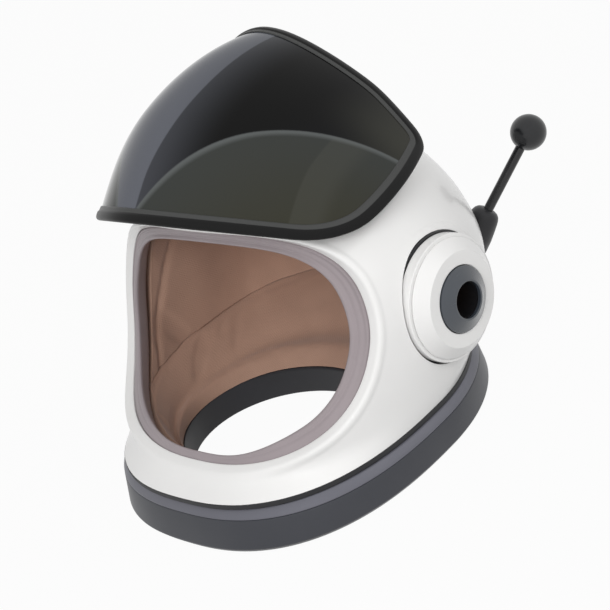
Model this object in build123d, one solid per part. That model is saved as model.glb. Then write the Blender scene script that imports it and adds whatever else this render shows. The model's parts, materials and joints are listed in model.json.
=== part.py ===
"""Astronaut helmet: pressure shell with padded liner, neck ring, sliding visor, ear ports, antenna."""
import os
from math import copysign, cos, radians, sin, sqrt

from build123d import *

os.makedirs("parts", exist_ok=True)

# All lengths are in millimetres. +Z is up, the wearer faces -Y and the wearer's left is +X.
# The origin is the middle of the neck ring's flat underside.

# Shared clearances
SEAT_GAP = 0.3
SLIDE_GAP = 0.3
RUNNING_GAP = 0.05
OVERRUN = 5.0

# Ear axis: the visor turns about it and both ear ports lie on it
EAR_Y = 47.5
EAR_Z = 112.0

# Outer shell: a spheroid above the ears, an egg-shaped skirt below them
DOME_RADIUS = 138.0
DOME_HALF_WIDTH = 155.0
SHELL_WALL = 4.0
BROW_BULGE = 51.0
FOOT_HALF_WIDTH = 143.5
FOOT_FRONT_Y = -153.0
FOOT_BACK_Y = 140.0
FOOT_CENTRE_Y = 10.0
CAP_START_SHARE = 0.70

# Levels of the skirt from foot to ears: height, width, centre, front reach and back reach
skirt_level_shares = [
    (0.00, 0.00, 0.00, 1.00, 0.00),
    (0.14, 0.24, 0.21, -0.45, 0.26),
    (0.32, 0.48, 0.46, -0.60, 0.46),
    (0.62, 0.83, 0.80, -0.25, 0.79),
    (1.00, 1.00, 1.00, 0.00, 1.00),
]
# Levels above the ears: height over the ears in dome radii, and how much bulge is left
brow_level_shares = [(0.14, 0.98), (0.28, 0.84), (0.42, 0.62), (0.56, 0.25), (CAP_START_SHARE, 0.00)]

# Face opening, seen from the side
OPENING_BACK_Y = -15.5
OPENING_FRONT_Y = -137.0
OPENING_SILL_Z = 55.5
OPENING_BROW_Z = 211.0
opening_curve_shares = [
    (0.36, 1.00), (0.19, 0.945), (0.055, 0.86), (0.00, 0.735), (0.035, 0.575),
    (0.15, 0.385), (0.305, 0.24), (0.50, 0.135), (0.75, 0.060), (1.00, 0.00),
]

# Rolled white lip and grey frame round the opening
LIP_DEPTH = 9.0
LIP_REACH = 10.0
FRAME_WIDTH = 10.0
FRAME_REACH = 12.0

# Liner: hard foam on the shell, soft pads on the foam
FOAM_DEPTH = 13.0
PAD_DEPTH = 20.0
CHEEK_SEAM_Y = 10.6
CHEEK_SEAM_Z = 143.4
CHEEK_SEAM_LEAN = 35.3
CHEEK_TOP_Z = 178.0
BROW_PAD_HALF_WIDTH = 45.0

# Neck ring, collar, gasket, seal and neck pad
RING_HALF_WIDTH = 149.0
RING_FRONT_Y = -166.0
RING_BACK_Y = 150.0
RING_CENTRE_Y = 6.0
RING_FOOT_CHAMFER = 4.0
RING_HEIGHT = 26.6
RING_RAKE = 9.0
RING_WALL = 7.0
RING_FLOOR = 6.0
COLLAR_TOP_Z = 34.0
COLLAR_CHAMFER = 4.0
COLLAR_WIDTH = 20.0
GASKET_TOP_Z = 38.8
GASKET_WIDTH = 10.0
TUBE_WALL = 5.0
NECK_HALF_WIDTH = 93.0
NECK_HALF_DEPTH = 75.0
NECK_CENTRE_Y = -35.0
SEAL_DEPTH = 7.0
SEAL_LIFT = 1.0
NECK_PAD_TOP_Z = 68.0
NECK_PAD_BASE_Z = 41.0
RING_SCREW_COUNT = 10
RING_SCREW_RADIUS = 4.0
RING_SCREW_HEAD = 3.0
RING_SCREW_SHANK_RADIUS = 2.2
RING_SCREW_BITE = 5.0
RING_SCREW_INSET = 13.0
RING_BOSS_RADIUS = 6.0

# Ear ports, measured out along the ear axis from the middle of the helmet
PORT_SEAT_X = 142.5
PORT_BOSS_BACK_X = 136.0
PORT_BOSS_RADIUS = 58.0
PORT_HOLE_RADIUS = 44.0
PORT_GASKET_RADIUS = 51.5
PORT_GASKET_TOP_X = 146.0
EAR_COLLAR_RADIUS = 50.0
EAR_COLLAR_BORE = 30.0
EAR_COLLAR_TOP_X = 155.6
EAR_SPIGOT_WALL = 6.0
EAR_NUT_RADIUS = 52.0
EAR_NUT_BACK_X = 131.0
EAR_CAP_EDGE_RADIUS = 48.4
EAR_CAP_FACE_RADIUS = 37.6
EAR_CAP_FACE_X = 165.7
PORT_FLANGE_RADIUS = 39.0
PORT_FLANGE_DEPTH = 4.0
LOCK_RADIUS = 26.0
LOCK_EDGE_X = 167.0
LOCK_NOSE_X = 172.0
LOCK_NOSE_RADIUS = 15.8
LOCK_LIP = 3.6
PORT_BORE_RADIUS = 14.0
PORT_TUBE_WALL = 5.0
PORT_BACK_X = 139.0
EARPHONE_RADIUS = 30.0
EARPHONE_BACK_X = 129.0
EARPHONE_DEPTH = 8.0
EAR_CUSHION_RADIUS = 38.0
EAR_CUSHION_DEPTH = 5.0

# Visor: a bubble that is round about the ear axis and tapers towards the front
VISOR_RADIUS = 210.0
VISOR_HALF_WIDTH = 176.0
VISOR_SQUARENESS = 1.6
VISOR_SECTION_STEPS = 4
VISOR_WALL = 3.0
BEAD_WIDTH = 9.0
BEAD_PROUD = 2.5
BEAD_INSIDE = 2.0
VISOR_TRAVEL = 60.0
VISOR_CORNER_Y = -17.4
VISOR_CORNER_Z = 203.0
VISOR_TIP_Y = 98.0
VISOR_TIP_Z = 219.6
VISOR_SWELL_Y = 104.0
VISOR_SWELL_Z = 262.0
VISOR_CROWN_Y = 98.0
VISOR_CROWN_Z = 316.0
VISOR_CORNER_FILLET = 65.0
VISOR_TIP_FILLET = 14.0
VISOR_SWELL_FILLET = 60.0
VISOR_BROW_SLOPE = 36.0

# Crown track, carriage and arm: angles are counted from straight ahead, up and over
TRACK_BASE_HALF_WIDTH = 18.0
TRACK_BASE_TOP = 142.0
TRACK_NECK_HALF_WIDTH = 5.0
TRACK_HEAD_HALF_WIDTH = 9.0
TRACK_HEAD_BOTTOM = 145.0
TRACK_HEAD_TOP = 148.5
STOP_ANGLE = 2.8
STOP_MARGIN = 0.6
CARRIAGE_START = 125.0
CARRIAGE_END = 137.0
TRACK_START = CARRIAGE_START - VISOR_TRAVEL - STOP_MARGIN - STOP_ANGLE
TRACK_END = CARRIAGE_END + STOP_MARGIN + STOP_ANGLE
CARRIAGE_HALF_WIDTH = 15.0
CARRIAGE_TOP = 153.5
GLIDE_DEPTH = 1.2
ARM_HALF_WIDTH = 14.0
ARM_ROOT_END = 130.4
ARM_HEAD_START = 90.0
ARM_HEAD_END = 101.0
ARM_KNEE_START = 110.0
ARM_KNEE_END = 119.0
ARM_KNEE_RADIUS = 184.0
ARM_FLANGE_START = 97.0
ARM_FLANGE_RADIUS = 201.0
ARM_WALL = 4.0
ARM_EDGE = 1.4
ARM_WEB_HALF_WIDTH = 3.0
ARM_SCREW_OFFSET = 9.0
ARM_SCREW_ANGLE = 93.4
ARM_ROOT_SCREW_ANGLE = 127.8
ARM_SCREW_RADIUS = 3.2
ARM_SCREW_HEAD = 2.2
ARM_SCREW_SHANK = 1.6
ARM_SCREW_BITE = 3.0
KNOB_ANGLE = 133.8
KNOB_RADIUS = 8.5
KNOB_HEIGHT = 11.0
KNOB_STEM_RADIUS = 3.0
KNOB_LOBES = 6
KNOB_GROOVE_RADIUS = 3.0
TRACK_SCREW_RADIUS = 2.6
TRACK_SCREW_HEAD = 1.8
TRACK_SCREW_SHANK = 1.4
TRACK_SCREW_OFFSET = 13.5
TRACK_SCREW_MARGIN = 7.5
TRACK_SCREW_PAIRS = 5

# Antenna on the left rear of the shell
ANTENNA_BASE = (79.0, 163.0, 85.0)
ANTENNA_TIP = (122.0, 222.0, 157.0)
BALL_RADIUS = 15.0
ROD_RADIUS = 4.1
ANTENNA_SEAT_NORMAL = (0.45, 0.83, -0.33)
BOOT_TOP_RADIUS = 11.5
BOOT_WAIST_RADIUS = 15.0
BOOT_WAIST = 10.0
BOOT_WAIST_LEAN = 0.45
BOOT_BASE_RADIUS = 22.0
BOOT_LENGTH = 30.5
BOOT_SHOULDER = 6.0
BOOT_ROOT = 8.0
ANTENNA_FLANGE_RADIUS = 27.0
ANTENNA_FLANGE_DEPTH = 2.5
ROD_SOCKET_DEPTH = 20.0
BALL_SOCKET_DEPTH = 9.0

EAR_LINE = Axis((0, EAR_Y, EAR_Z), (1, 0, 0))
EAR_PLANE = Plane(origin=(0, EAR_Y, EAR_Z), x_dir=(1, 0, 0), z_dir=(0, -1, 0))
SIDE_PLANE = Plane(origin=(0, 0, 0), x_dir=(0, 1, 0), z_dir=(1, 0, 0))
REACH = DOME_HALF_WIDTH + DOME_RADIUS


def mix(low, high, share):
    return low + (high - low) * share


def dome_scale(height, depth):
    """Size of a level cut through the dome, as a share of its size at the ears."""
    radius = DOME_RADIUS - depth
    return sqrt(max(1 - (height / radius) ** 2, 0))


def egg(level, half_width, centre_y, front_y, back_y):
    """Level egg-shaped face: two half ellipses that meet on the widest line."""
    front = EllipticalCenterArc((0, centre_y), half_width, centre_y - front_y, 180, arc_size=180)
    back = EllipticalCenterArc((0, centre_y), half_width, back_y - centre_y, 0, arc_size=180)
    return Plane.XY.offset(level) * make_face([front, back])


def shell_level(share_row, depth):
    """One level of the skirt, drawn in by depth."""
    height, width, centre, front, back = share_row
    return (
        mix(GASKET_TOP_Z, EAR_Z, height),
        mix(FOOT_HALF_WIDTH, DOME_HALF_WIDTH, width) - depth,
        mix(FOOT_CENTRE_Y, EAR_Y, centre),
        mix(EAR_Y - DOME_RADIUS - BROW_BULGE, FOOT_FRONT_Y, front) + depth,
        mix(FOOT_BACK_Y, EAR_Y + DOME_RADIUS, back) - depth,
    )


def brow_level(share_row, depth):
    """One level of the shell above the ears, drawn in by depth."""
    height_share, bulge_share = share_row
    height = height_share * DOME_RADIUS
    scale = dome_scale(height, depth)
    reach = (DOME_RADIUS - depth) * scale
    return (
        EAR_Z + height,
        (DOME_HALF_WIDTH - depth) * scale,
        EAR_Y,
        EAR_Y - reach - BROW_BULGE * bulge_share,
        EAR_Y + reach,
    )


def shell_width_at(level, depth):
    """Width, centre, front and back of the skirt at any level between foot and ears."""
    rows = [shell_level(row, depth) for row in skirt_level_shares]
    for low, high in zip(rows, rows[1:]):
        if low[0] <= level <= high[0]:
            share = (level - low[0]) / (high[0] - low[0])
            return [mix(a, b, share) for a, b in zip(low[1:], high[1:])]
    return list(rows[-1][1:])


def spheroid(half_width, radius):
    """Solid of revolution about the ear axis."""
    arc = EllipticalCenterArc((0, 0), half_width, radius, 0, arc_size=180)
    return revolve(EAR_PLANE * make_face([arc, Line(arc @ 1, arc @ 0)]), EAR_LINE)


def slab(low, high):
    """Everything between two levels."""
    size = 2 * REACH
    return Pos(0, 0, low) * Box(size, size, high - low, align=(Align.CENTER, Align.CENTER, Align.MIN))


def shell_body(depth):
    """Solid inside the shell's outer face, drawn in by depth on every side."""
    levels = [shell_level(row, depth) for row in skirt_level_shares]
    levels += [brow_level(row, depth) for row in brow_level_shares]
    lower = loft([egg(*level) for level in levels])
    cap_start = EAR_Z + CAP_START_SHARE * DOME_RADIUS
    dome = spheroid(DOME_HALF_WIDTH - depth, DOME_RADIUS - depth)
    return lower + (dome & slab(cap_start, EAR_Z + DOME_RADIUS + OVERRUN))


def grown(points, amount):
    """The points moved outwards along the curve's own normal."""
    moved = []
    for index, (y, z) in enumerate(points):
        before = points[max(index - 1, 0)]
        after = points[min(index + 1, len(points) - 1)]
        run = Vector(after[0] - before[0], after[1] - before[1]).normalized()
        moved.append((y - run.Y * amount, z + run.X * amount))
    return moved


def opening_points():
    return [
        (mix(OPENING_BACK_Y, OPENING_FRONT_Y, ahead), mix(OPENING_SILL_Z, OPENING_BROW_Z, up))
        for ahead, up in opening_curve_shares
    ]


def face_cut(growth):
    """Prism across the helmet that opens the face, enlarged by growth."""
    points = grown(opening_points(), growth)
    front = FOOT_FRONT_Y - REACH
    rim = Polyline(points[-1], (front, points[-1][1]), (front, points[0][1]), points[0])
    return extrude(SIDE_PLANE * make_face([Spline(points), rim]), amount=REACH, both=True)


def ear_ring(points):
    """Ring about the ear axis from (distance along the axis, radius) points."""
    outline = Polyline(*points, close=True)
    return revolve(EAR_PLANE * make_face(outline), EAR_LINE)


def ear_disc(radius, start, end):
    return ear_ring([(start, 0), (start, radius), (end, radius), (end, 0)])


def ear_tube(inner, outer, start, end):
    return ear_ring([(start, inner), (start, outer), (end, outer), (end, inner)])


def both_sides(left, name):
    """The wearer's left piece and its mirror image on the right."""
    return {"left_" + name: left, "right_" + name: mirror(left, about=Plane.YZ)}


def on_arc(angle, radius):
    """Point on the middle plane, at an angle from straight ahead about the ear axis."""
    return (EAR_Y - radius * cos(radians(angle)), EAR_Z + radius * sin(radians(angle)))


def radial_frame(angle, radius, across):
    """Plane square to the ear radius at an angle, shifted across the helmet."""
    y, z = on_arc(angle, radius)
    outward = (0, -cos(radians(angle)), sin(radians(angle)))
    return Plane(origin=(across, y, z), x_dir=(1, 0, 0), z_dir=outward)


def neck_ellipse(growth, level):
    """Level ellipse of the neck hole, enlarged by growth."""
    shape = Ellipse(NECK_HALF_WIDTH + growth, NECK_HALF_DEPTH + growth)
    return Pos(0, NECK_CENTRE_Y, level) * shape


def ring_egg(level, depth):
    """Level outline of the neck ring, drawn in by depth; the front rakes back as it rises."""
    rake = RING_RAKE * level / RING_HEIGHT
    return egg(
        level,
        RING_HALF_WIDTH - depth,
        RING_CENTRE_Y,
        RING_FRONT_Y + rake + depth,
        RING_BACK_Y - rake / 2 - depth,
    )


def foot_egg(level, depth):
    """Level outline of the shell's foot, drawn in by depth."""
    return egg(level, *shell_level(skirt_level_shares[0], depth)[1:])


def prism(face, height):
    return extrude(face, amount=height)


def make_shell(body, opening):
    """White outer shell with its rolled lip and the thick flat seats of the ear ports."""
    shell = body - shell_body(SHELL_WALL)
    shell += (shell_body(SHELL_WALL) - shell_body(LIP_DEPTH)) & face_cut(LIP_REACH)
    boss = ear_tube(PORT_HOLE_RADIUS, PORT_BOSS_RADIUS, PORT_BOSS_BACK_X, DOME_HALF_WIDTH) & body
    seat = ear_disc(PORT_GASKET_RADIUS + SEAT_GAP, PORT_SEAT_X, PORT_SEAT_X + REACH)
    hole = ear_disc(PORT_HOLE_RADIUS, PORT_BOSS_BACK_X - OVERRUN, PORT_SEAT_X + OVERRUN)
    for sided in both_sides(boss, "boss").values():
        shell += sided
    for sided in both_sides(seat + hole, "seat").values():
        shell -= sided
    return shell - opening


def make_frame(opening):
    """Grey frame between the shell's lip and the liner."""
    band = shell_body(LIP_DEPTH) - shell_body(LIP_DEPTH + FRAME_WIDTH)
    band = band & face_cut(FRAME_REACH)
    return band - opening


def cheek_zone(gap):
    """Space of the two cheek pads: in front of the leaning seam and beside the brow pad."""
    lean = radians(CHEEK_SEAM_LEAN)
    front = Plane(origin=(0, CHEEK_SEAM_Y, CHEEK_SEAM_Z), x_dir=(1, 0, 0), z_dir=(0, -cos(lean), sin(lean)))
    zone = extrude(front.offset(gap) * Rectangle(2 * REACH, 2 * REACH), amount=REACH)
    zone &= slab(0, CHEEK_TOP_Z - gap)
    return zone - Box(2 * (BROW_PAD_HALF_WIDTH + gap), 2 * REACH, 2 * REACH)


def ear_pockets():
    """Room for the ear ports' nuts and bosses behind the shell."""
    pocket = ear_disc(PORT_BOSS_RADIUS + SEAT_GAP, EAR_NUT_BACK_X - SEAT_GAP, REACH)
    return both_sides(pocket, "pocket")


def make_liner():
    """Foam liner against the shell, soft liner and two cheek pads on the foam."""
    inside = shell_body(FOAM_DEPTH + SEAT_GAP)
    clear = face_cut(FRAME_REACH + SEAT_GAP)
    pockets = ear_pockets()
    foam = (shell_body(SHELL_WALL + SEAT_GAP) - shell_body(FOAM_DEPTH)) & slab(NECK_PAD_BASE_Z, REACH)
    soft = (inside - shell_body(PAD_DEPTH)) & slab(NECK_PAD_TOP_Z + SEAT_GAP, REACH)
    foam, soft = foam - clear, soft - clear
    ear = ear_disc(EAR_CUSHION_RADIUS + SEAT_GAP, 0, REACH)
    for sided in pockets.values():
        foam -= sided
        soft -= sided
    soft = soft - ear - mirror(ear, about=Plane.YZ)
    cheeks = soft & cheek_zone(SEAT_GAP)
    left = max(cheeks.solids(), key=lambda solid: solid.center().X)
    right = min(cheeks.solids(), key=lambda solid: solid.center().X)
    return {
        "foam_liner": foam,
        "soft_liner": soft - cheek_zone(0),
        "left_cheek_pad": left,
        "right_cheek_pad": right,
    }


def make_neck_pad():
    """Thick soft pad between the liner and the neck hole; its inside is a funnel."""
    foot = prism(foot_egg(RING_HEIGHT + SEAT_GAP, COLLAR_WIDTH), GASKET_TOP_Z - RING_HEIGHT)
    wall = shell_body(FOAM_DEPTH + SEAT_GAP) & slab(GASKET_TOP_Z, NECK_PAD_TOP_Z)
    rim = egg(NECK_PAD_TOP_Z, *shell_width_at(NECK_PAD_TOP_Z, PAD_DEPTH))
    funnel = loft([neck_ellipse(0, RING_HEIGHT), rim])
    throat = prism(neck_ellipse(0, 0), NECK_PAD_TOP_Z)
    pad = foot + wall - funnel - throat
    for pocket in ear_pockets().values():
        pad -= pocket
    return pad - face_cut(FRAME_REACH + SEAT_GAP)


def screw_places():
    """Points on the neck ring's bolt line, evenly turned about its centre."""
    half_width = RING_HALF_WIDTH - RING_SCREW_INSET
    for index in range(RING_SCREW_COUNT):
        turn = radians(360 * (index + 1 / 2) / RING_SCREW_COUNT)
        reach = RING_BACK_Y if sin(turn) > 0 else -RING_FRONT_Y - RING_RAKE
        depth = reach - RING_SCREW_INSET - (RING_CENTRE_Y if sin(turn) > 0 else -RING_CENTRE_Y)
        yield (half_width * cos(turn), RING_CENTRE_Y + depth * sin(turn))


def make_neck():
    """Neck ring, collar, gasket, seal and the screws that clamp the ring to the collar."""
    foot = loft([ring_egg(0, RING_FOOT_CHAMFER), ring_egg(RING_FOOT_CHAMFER, 0)], ruled=True)
    wall = loft([ring_egg(RING_FOOT_CHAMFER, 0), ring_egg(RING_HEIGHT, 0)], ruled=True)
    channel = loft([ring_egg(RING_FLOOR, RING_WALL), ring_egg(RING_HEIGHT, RING_WALL)], ruled=True)
    channel -= prism(neck_ellipse(SEAL_DEPTH + TUBE_WALL, 0), RING_HEIGHT)
    ring = foot + wall - channel - prism(neck_ellipse(SEAL_DEPTH, 0), RING_HEIGHT)
    collar = loft([ring_egg(RING_HEIGHT, 0), ring_egg(COLLAR_TOP_Z, COLLAR_CHAMFER)], ruled=True)
    collar -= prism(foot_egg(RING_HEIGHT, COLLAR_WIDTH - SEAT_GAP), COLLAR_TOP_Z)
    gasket = prism(foot_egg(COLLAR_TOP_Z, 0), GASKET_TOP_Z - COLLAR_TOP_Z)
    gasket -= prism(foot_egg(COLLAR_TOP_Z, GASKET_WIDTH), GASKET_TOP_Z)
    seal = prism(neck_ellipse(SEAL_DEPTH, SEAL_LIFT), RING_HEIGHT - SEAL_LIFT)
    seal -= prism(neck_ellipse(0, 0), RING_HEIGHT)
    shank_top = RING_HEIGHT + RING_SCREW_BITE
    screws = []
    for x, y in screw_places():
        ring += Pos(x, y, RING_FLOOR) * up(Cylinder, RING_BOSS_RADIUS, RING_HEIGHT - RING_FLOOR)
        head_room = Pos(x, y, 0) * up(Cylinder, RING_SCREW_RADIUS + SEAT_GAP, RING_SCREW_HEAD + SEAT_GAP)
        shaft = Pos(x, y, 0) * up(Cylinder, RING_SCREW_SHANK_RADIUS + RUNNING_GAP, shank_top)
        ring = ring - head_room - shaft
        collar -= shaft
        head = up(Cylinder, RING_SCREW_RADIUS, RING_SCREW_HEAD)
        socket = up(Cylinder, RING_SCREW_SHANK_RADIUS, RING_SCREW_HEAD / 2)
        shank_length = shank_top - RING_SCREW_HEAD - SEAT_GAP
        shank = Pos(0, 0, RING_SCREW_HEAD) * up(Cylinder, RING_SCREW_SHANK_RADIUS, shank_length)
        screws.append(Pos(x, y, SEAT_GAP) * (head - socket + shank))
    return {
        "neck_ring": ring,
        "neck_collar": collar,
        "shell_gasket": gasket,
        "neck_seal": seal,
        "neck_ring_screws": Compound(children=screws),
    }


def up(shape, radius, height):
    """Upright cylinder that stands on its workplane."""
    return shape(radius, height, align=(Align.CENTER, Align.CENTER, Align.MIN))


def make_ear_port():
    """Pieces of the left ear port, from the shell outwards."""
    spigot = PORT_HOLE_RADIUS - SEAT_GAP
    flange_top = EAR_COLLAR_TOP_X + PORT_FLANGE_DEPTH
    tube = PORT_BORE_RADIUS + PORT_TUBE_WALL
    collar = ear_ring([
        (EAR_NUT_BACK_X, spigot - EAR_SPIGOT_WALL),
        (EAR_NUT_BACK_X, spigot),
        (PORT_GASKET_TOP_X, spigot),
        (PORT_GASKET_TOP_X, EAR_COLLAR_RADIUS),
        (EAR_COLLAR_TOP_X, EAR_COLLAR_RADIUS),
        (EAR_COLLAR_TOP_X, EAR_COLLAR_BORE),
        (PORT_GASKET_TOP_X, EAR_COLLAR_BORE),
        (PORT_GASKET_TOP_X, spigot - EAR_SPIGOT_WALL),
    ])
    cap = ear_ring([
        (EAR_COLLAR_TOP_X, PORT_FLANGE_RADIUS + SEAT_GAP),
        (EAR_COLLAR_TOP_X, EAR_CAP_EDGE_RADIUS),
        (EAR_CAP_FACE_X, EAR_CAP_FACE_RADIUS),
        (EAR_CAP_FACE_X, LOCK_RADIUS + SEAT_GAP),
        (flange_top, LOCK_RADIUS + SEAT_GAP),
        (flange_top, PORT_FLANGE_RADIUS + SEAT_GAP),
    ])
    port = ear_ring([
        (PORT_BACK_X, PORT_BORE_RADIUS),
        (PORT_BACK_X, tube),
        (EAR_COLLAR_TOP_X, tube),
        (EAR_COLLAR_TOP_X, PORT_FLANGE_RADIUS),
        (flange_top, PORT_FLANGE_RADIUS),
        (flange_top, tube),
        (LOCK_NOSE_X - LOCK_LIP - SEAT_GAP, tube),
        (LOCK_NOSE_X - LOCK_LIP - SEAT_GAP, PORT_BORE_RADIUS),
    ])
    lock = ear_ring([
        (flange_top + SEAT_GAP, tube + RUNNING_GAP),
        (flange_top + SEAT_GAP, LOCK_RADIUS),
        (LOCK_EDGE_X, LOCK_RADIUS),
        (LOCK_NOSE_X, LOCK_NOSE_RADIUS),
        (LOCK_NOSE_X, PORT_BORE_RADIUS + SEAT_GAP),
        (LOCK_NOSE_X - LOCK_LIP, PORT_BORE_RADIUS + SEAT_GAP),
        (LOCK_NOSE_X - LOCK_LIP, tube + RUNNING_GAP),
    ])
    return {
        "port_gasket": ear_tube(PORT_HOLE_RADIUS, PORT_GASKET_RADIUS, PORT_SEAT_X, PORT_GASKET_TOP_X),
        "port_nut": ear_tube(spigot, EAR_NUT_RADIUS, EAR_NUT_BACK_X, PORT_BOSS_BACK_X),
        "port_collar": collar,
        "port_cap": cap,
        "port_socket": port,
        "lock_ring": lock,
        "earphone": ear_disc(EARPHONE_RADIUS, EARPHONE_BACK_X, EARPHONE_BACK_X + EARPHONE_DEPTH),
        "ear_cushion": ear_disc(EAR_CUSHION_RADIUS, EARPHONE_BACK_X - EAR_CUSHION_DEPTH, EARPHONE_BACK_X),
    }


def visor_outline(inset):
    """Prism that keeps the visor's outline in the side view, drawn in by inset."""
    slope = radians(VISOR_BROW_SLOPE)
    reach = VISOR_RADIUS
    brow = (VISOR_CORNER_Y - reach * cos(slope), VISOR_CORNER_Z + reach * sin(slope))
    corner, tip = (VISOR_CORNER_Y, VISOR_CORNER_Z), (VISOR_TIP_Y, VISOR_TIP_Z)
    swell = (VISOR_SWELL_Y, VISOR_SWELL_Z)
    lean = (VISOR_CROWN_Y - VISOR_SWELL_Y) / (VISOR_CROWN_Z - VISOR_SWELL_Z)
    top = (VISOR_SWELL_Y + lean * reach, VISOR_SWELL_Z + reach)
    fillets = [VISOR_CORNER_FILLET, VISOR_TIP_FILLET, VISOR_SWELL_FILLET]
    path = FilletPolyline(brow, corner, tip, swell, top, radius=fillets)
    face = make_face([path, Polyline(path @ 1, (brow[0], top[1]), path @ 0)])
    if inset:
        face = offset(face, amount=-inset, kind=Kind.INTERSECTION)
    return extrude(SIDE_PLANE * face, amount=REACH, both=True)


def bubble(outside):
    """Solid inside the visor's outer face, moved out by outside."""
    points = []
    for index in range(-VISOR_SECTION_STEPS, VISOR_SECTION_STEPS + 1):
        turn = radians(90 * index / VISOR_SECTION_STEPS)
        across = copysign(abs(sin(turn)) ** (2 / VISOR_SQUARENESS), turn) * (VISOR_HALF_WIDTH + outside)
        points.append((across, cos(turn) ** (2 / VISOR_SQUARENESS) * (VISOR_RADIUS + outside)))
    section = Spline(points, tangents=((0, 1), (0, -1)))
    return revolve(EAR_PLANE * make_face([section, Line(points[-1], points[0])]), EAR_LINE)


def make_visor():
    """Tinted bubble and the rubber bead round its edge."""
    upper = slab(EAR_Z, EAR_Z + VISOR_RADIUS + OVERRUN)
    outline, inner = visor_outline(0), visor_outline(BEAD_WIDTH)
    lens = (bubble(0) - bubble(-VISOR_WALL)) & inner & upper
    bead = (bubble(BEAD_PROUD) - bubble(-VISOR_WALL - BEAD_INSIDE)) & outline & upper
    return {"visor_lens": lens, "visor_bead": bead - inner}


def mirrored(points):
    """Closed outline from points on the right of the middle plane, lowest first."""
    return points + [(-x, radius) for x, radius in reversed(points)]


def ear_sector(points, start, end):
    """Outline of (across, radius) points swept about the ear axis between two angles."""
    face = make_face(Polyline(*points, close=True))
    swept = revolve(EAR_PLANE * face, EAR_LINE, revolution_arc=end - start)
    return swept.rotate(EAR_LINE, 90 - end)


def radial_peg(angle, across, radius, start, end):
    """Cylinder that stands square to the ear axis, from one ear radius to another."""
    return radial_frame(angle, start, across) * up(Cylinder, radius, end - start)


def track_screw_places():
    """Angle and offset of each track screw, in pairs along the track."""
    first, last = TRACK_START + TRACK_SCREW_MARGIN, TRACK_END - TRACK_SCREW_MARGIN
    for index in range(TRACK_SCREW_PAIRS):
        for across in (-TRACK_SCREW_OFFSET, TRACK_SCREW_OFFSET):
            yield mix(first, last, index / (TRACK_SCREW_PAIRS - 1)), across


def track_screw(angle, across, clearance):
    """Countersunk track screw; clearance opens it into its hole."""
    inner = DOME_RADIUS - SHELL_WALL - clearance
    neck = TRACK_BASE_TOP - TRACK_SCREW_HEAD
    shank = radial_peg(angle, across, TRACK_SCREW_SHANK + clearance, inner, neck)
    head = radial_peg(angle, across, TRACK_SCREW_RADIUS + clearance, neck, TRACK_BASE_TOP + clearance)
    return shank + head


def make_track(body):
    """Crown track, its end stops and its screws, and the tool that drills their holes."""
    track = ear_sector(mirrored([
        (TRACK_BASE_HALF_WIDTH, DOME_RADIUS - SHELL_WALL),
        (TRACK_BASE_HALF_WIDTH, TRACK_BASE_TOP),
        (TRACK_NECK_HALF_WIDTH, TRACK_BASE_TOP),
        (TRACK_NECK_HALF_WIDTH, TRACK_HEAD_BOTTOM),
        (TRACK_HEAD_HALF_WIDTH, TRACK_HEAD_BOTTOM),
        (TRACK_HEAD_HALF_WIDTH, TRACK_HEAD_TOP),
    ]), TRACK_START, TRACK_END)
    track -= body
    stop = mirrored([(TRACK_HEAD_HALF_WIDTH, TRACK_HEAD_TOP), (TRACK_HEAD_HALF_WIDTH, CARRIAGE_TOP)])
    stops = [
        ear_sector(stop, TRACK_START, TRACK_START + STOP_ANGLE),
        ear_sector(stop, TRACK_END - STOP_ANGLE, TRACK_END),
    ]
    holes = Part() + [track_screw(angle, across, RUNNING_GAP) for angle, across in track_screw_places()]
    screws = [track_screw(angle, across, 0) for angle, across in track_screw_places()]
    return holes, {
        "crown_track": track - holes,
        "track_stops": Compound(children=stops),
        "track_screws": Compound(children=screws),
    }


def make_carriage():
    """Carriage that hooks under the track's head, its glides and the hole of its lock knob."""
    side = TRACK_HEAD_HALF_WIDTH + SLIDE_GAP
    carriage = ear_sector(mirrored([
        (side + GLIDE_DEPTH, TRACK_HEAD_TOP + SLIDE_GAP),
        (side + GLIDE_DEPTH, TRACK_HEAD_BOTTOM - SLIDE_GAP),
        (TRACK_NECK_HALF_WIDTH + SLIDE_GAP, TRACK_HEAD_BOTTOM - SLIDE_GAP),
        (TRACK_NECK_HALF_WIDTH + SLIDE_GAP, TRACK_BASE_TOP + SLIDE_GAP),
        (CARRIAGE_HALF_WIDTH, TRACK_BASE_TOP + SLIDE_GAP),
        (CARRIAGE_HALF_WIDTH, CARRIAGE_TOP),
    ]), CARRIAGE_START, CARRIAGE_END)
    glides = [
        ear_sector([
            (way * side, TRACK_HEAD_BOTTOM - SLIDE_GAP),
            (way * (side + GLIDE_DEPTH), TRACK_HEAD_BOTTOM - SLIDE_GAP),
            (way * (side + GLIDE_DEPTH), TRACK_HEAD_TOP + SLIDE_GAP),
            (way * side, TRACK_HEAD_TOP + SLIDE_GAP),
        ], CARRIAGE_START, CARRIAGE_END)
        for way in (-1, 1)
    ]
    for across in (-ARM_SCREW_OFFSET, ARM_SCREW_OFFSET):
        carriage -= root_screw(across)
    bore = radial_peg(KNOB_ANGLE, 0, KNOB_STEM_RADIUS + RUNNING_GAP, TRACK_HEAD_TOP, CARRIAGE_TOP + OVERRUN)
    return {"visor_carriage": carriage - bore, "carriage_glides": Compound(children=glides)}


def root_screw(across):
    """Screw that holds the arm's foot on the carriage."""
    seat = CARRIAGE_TOP + ARM_WALL
    shank = radial_peg(ARM_ROOT_SCREW_ANGLE, across, ARM_SCREW_SHANK, CARRIAGE_TOP - ARM_SCREW_BITE, seat)
    return shank + radial_peg(ARM_ROOT_SCREW_ANGLE, across, ARM_SCREW_RADIUS, seat, seat + ARM_SCREW_HEAD)


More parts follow.
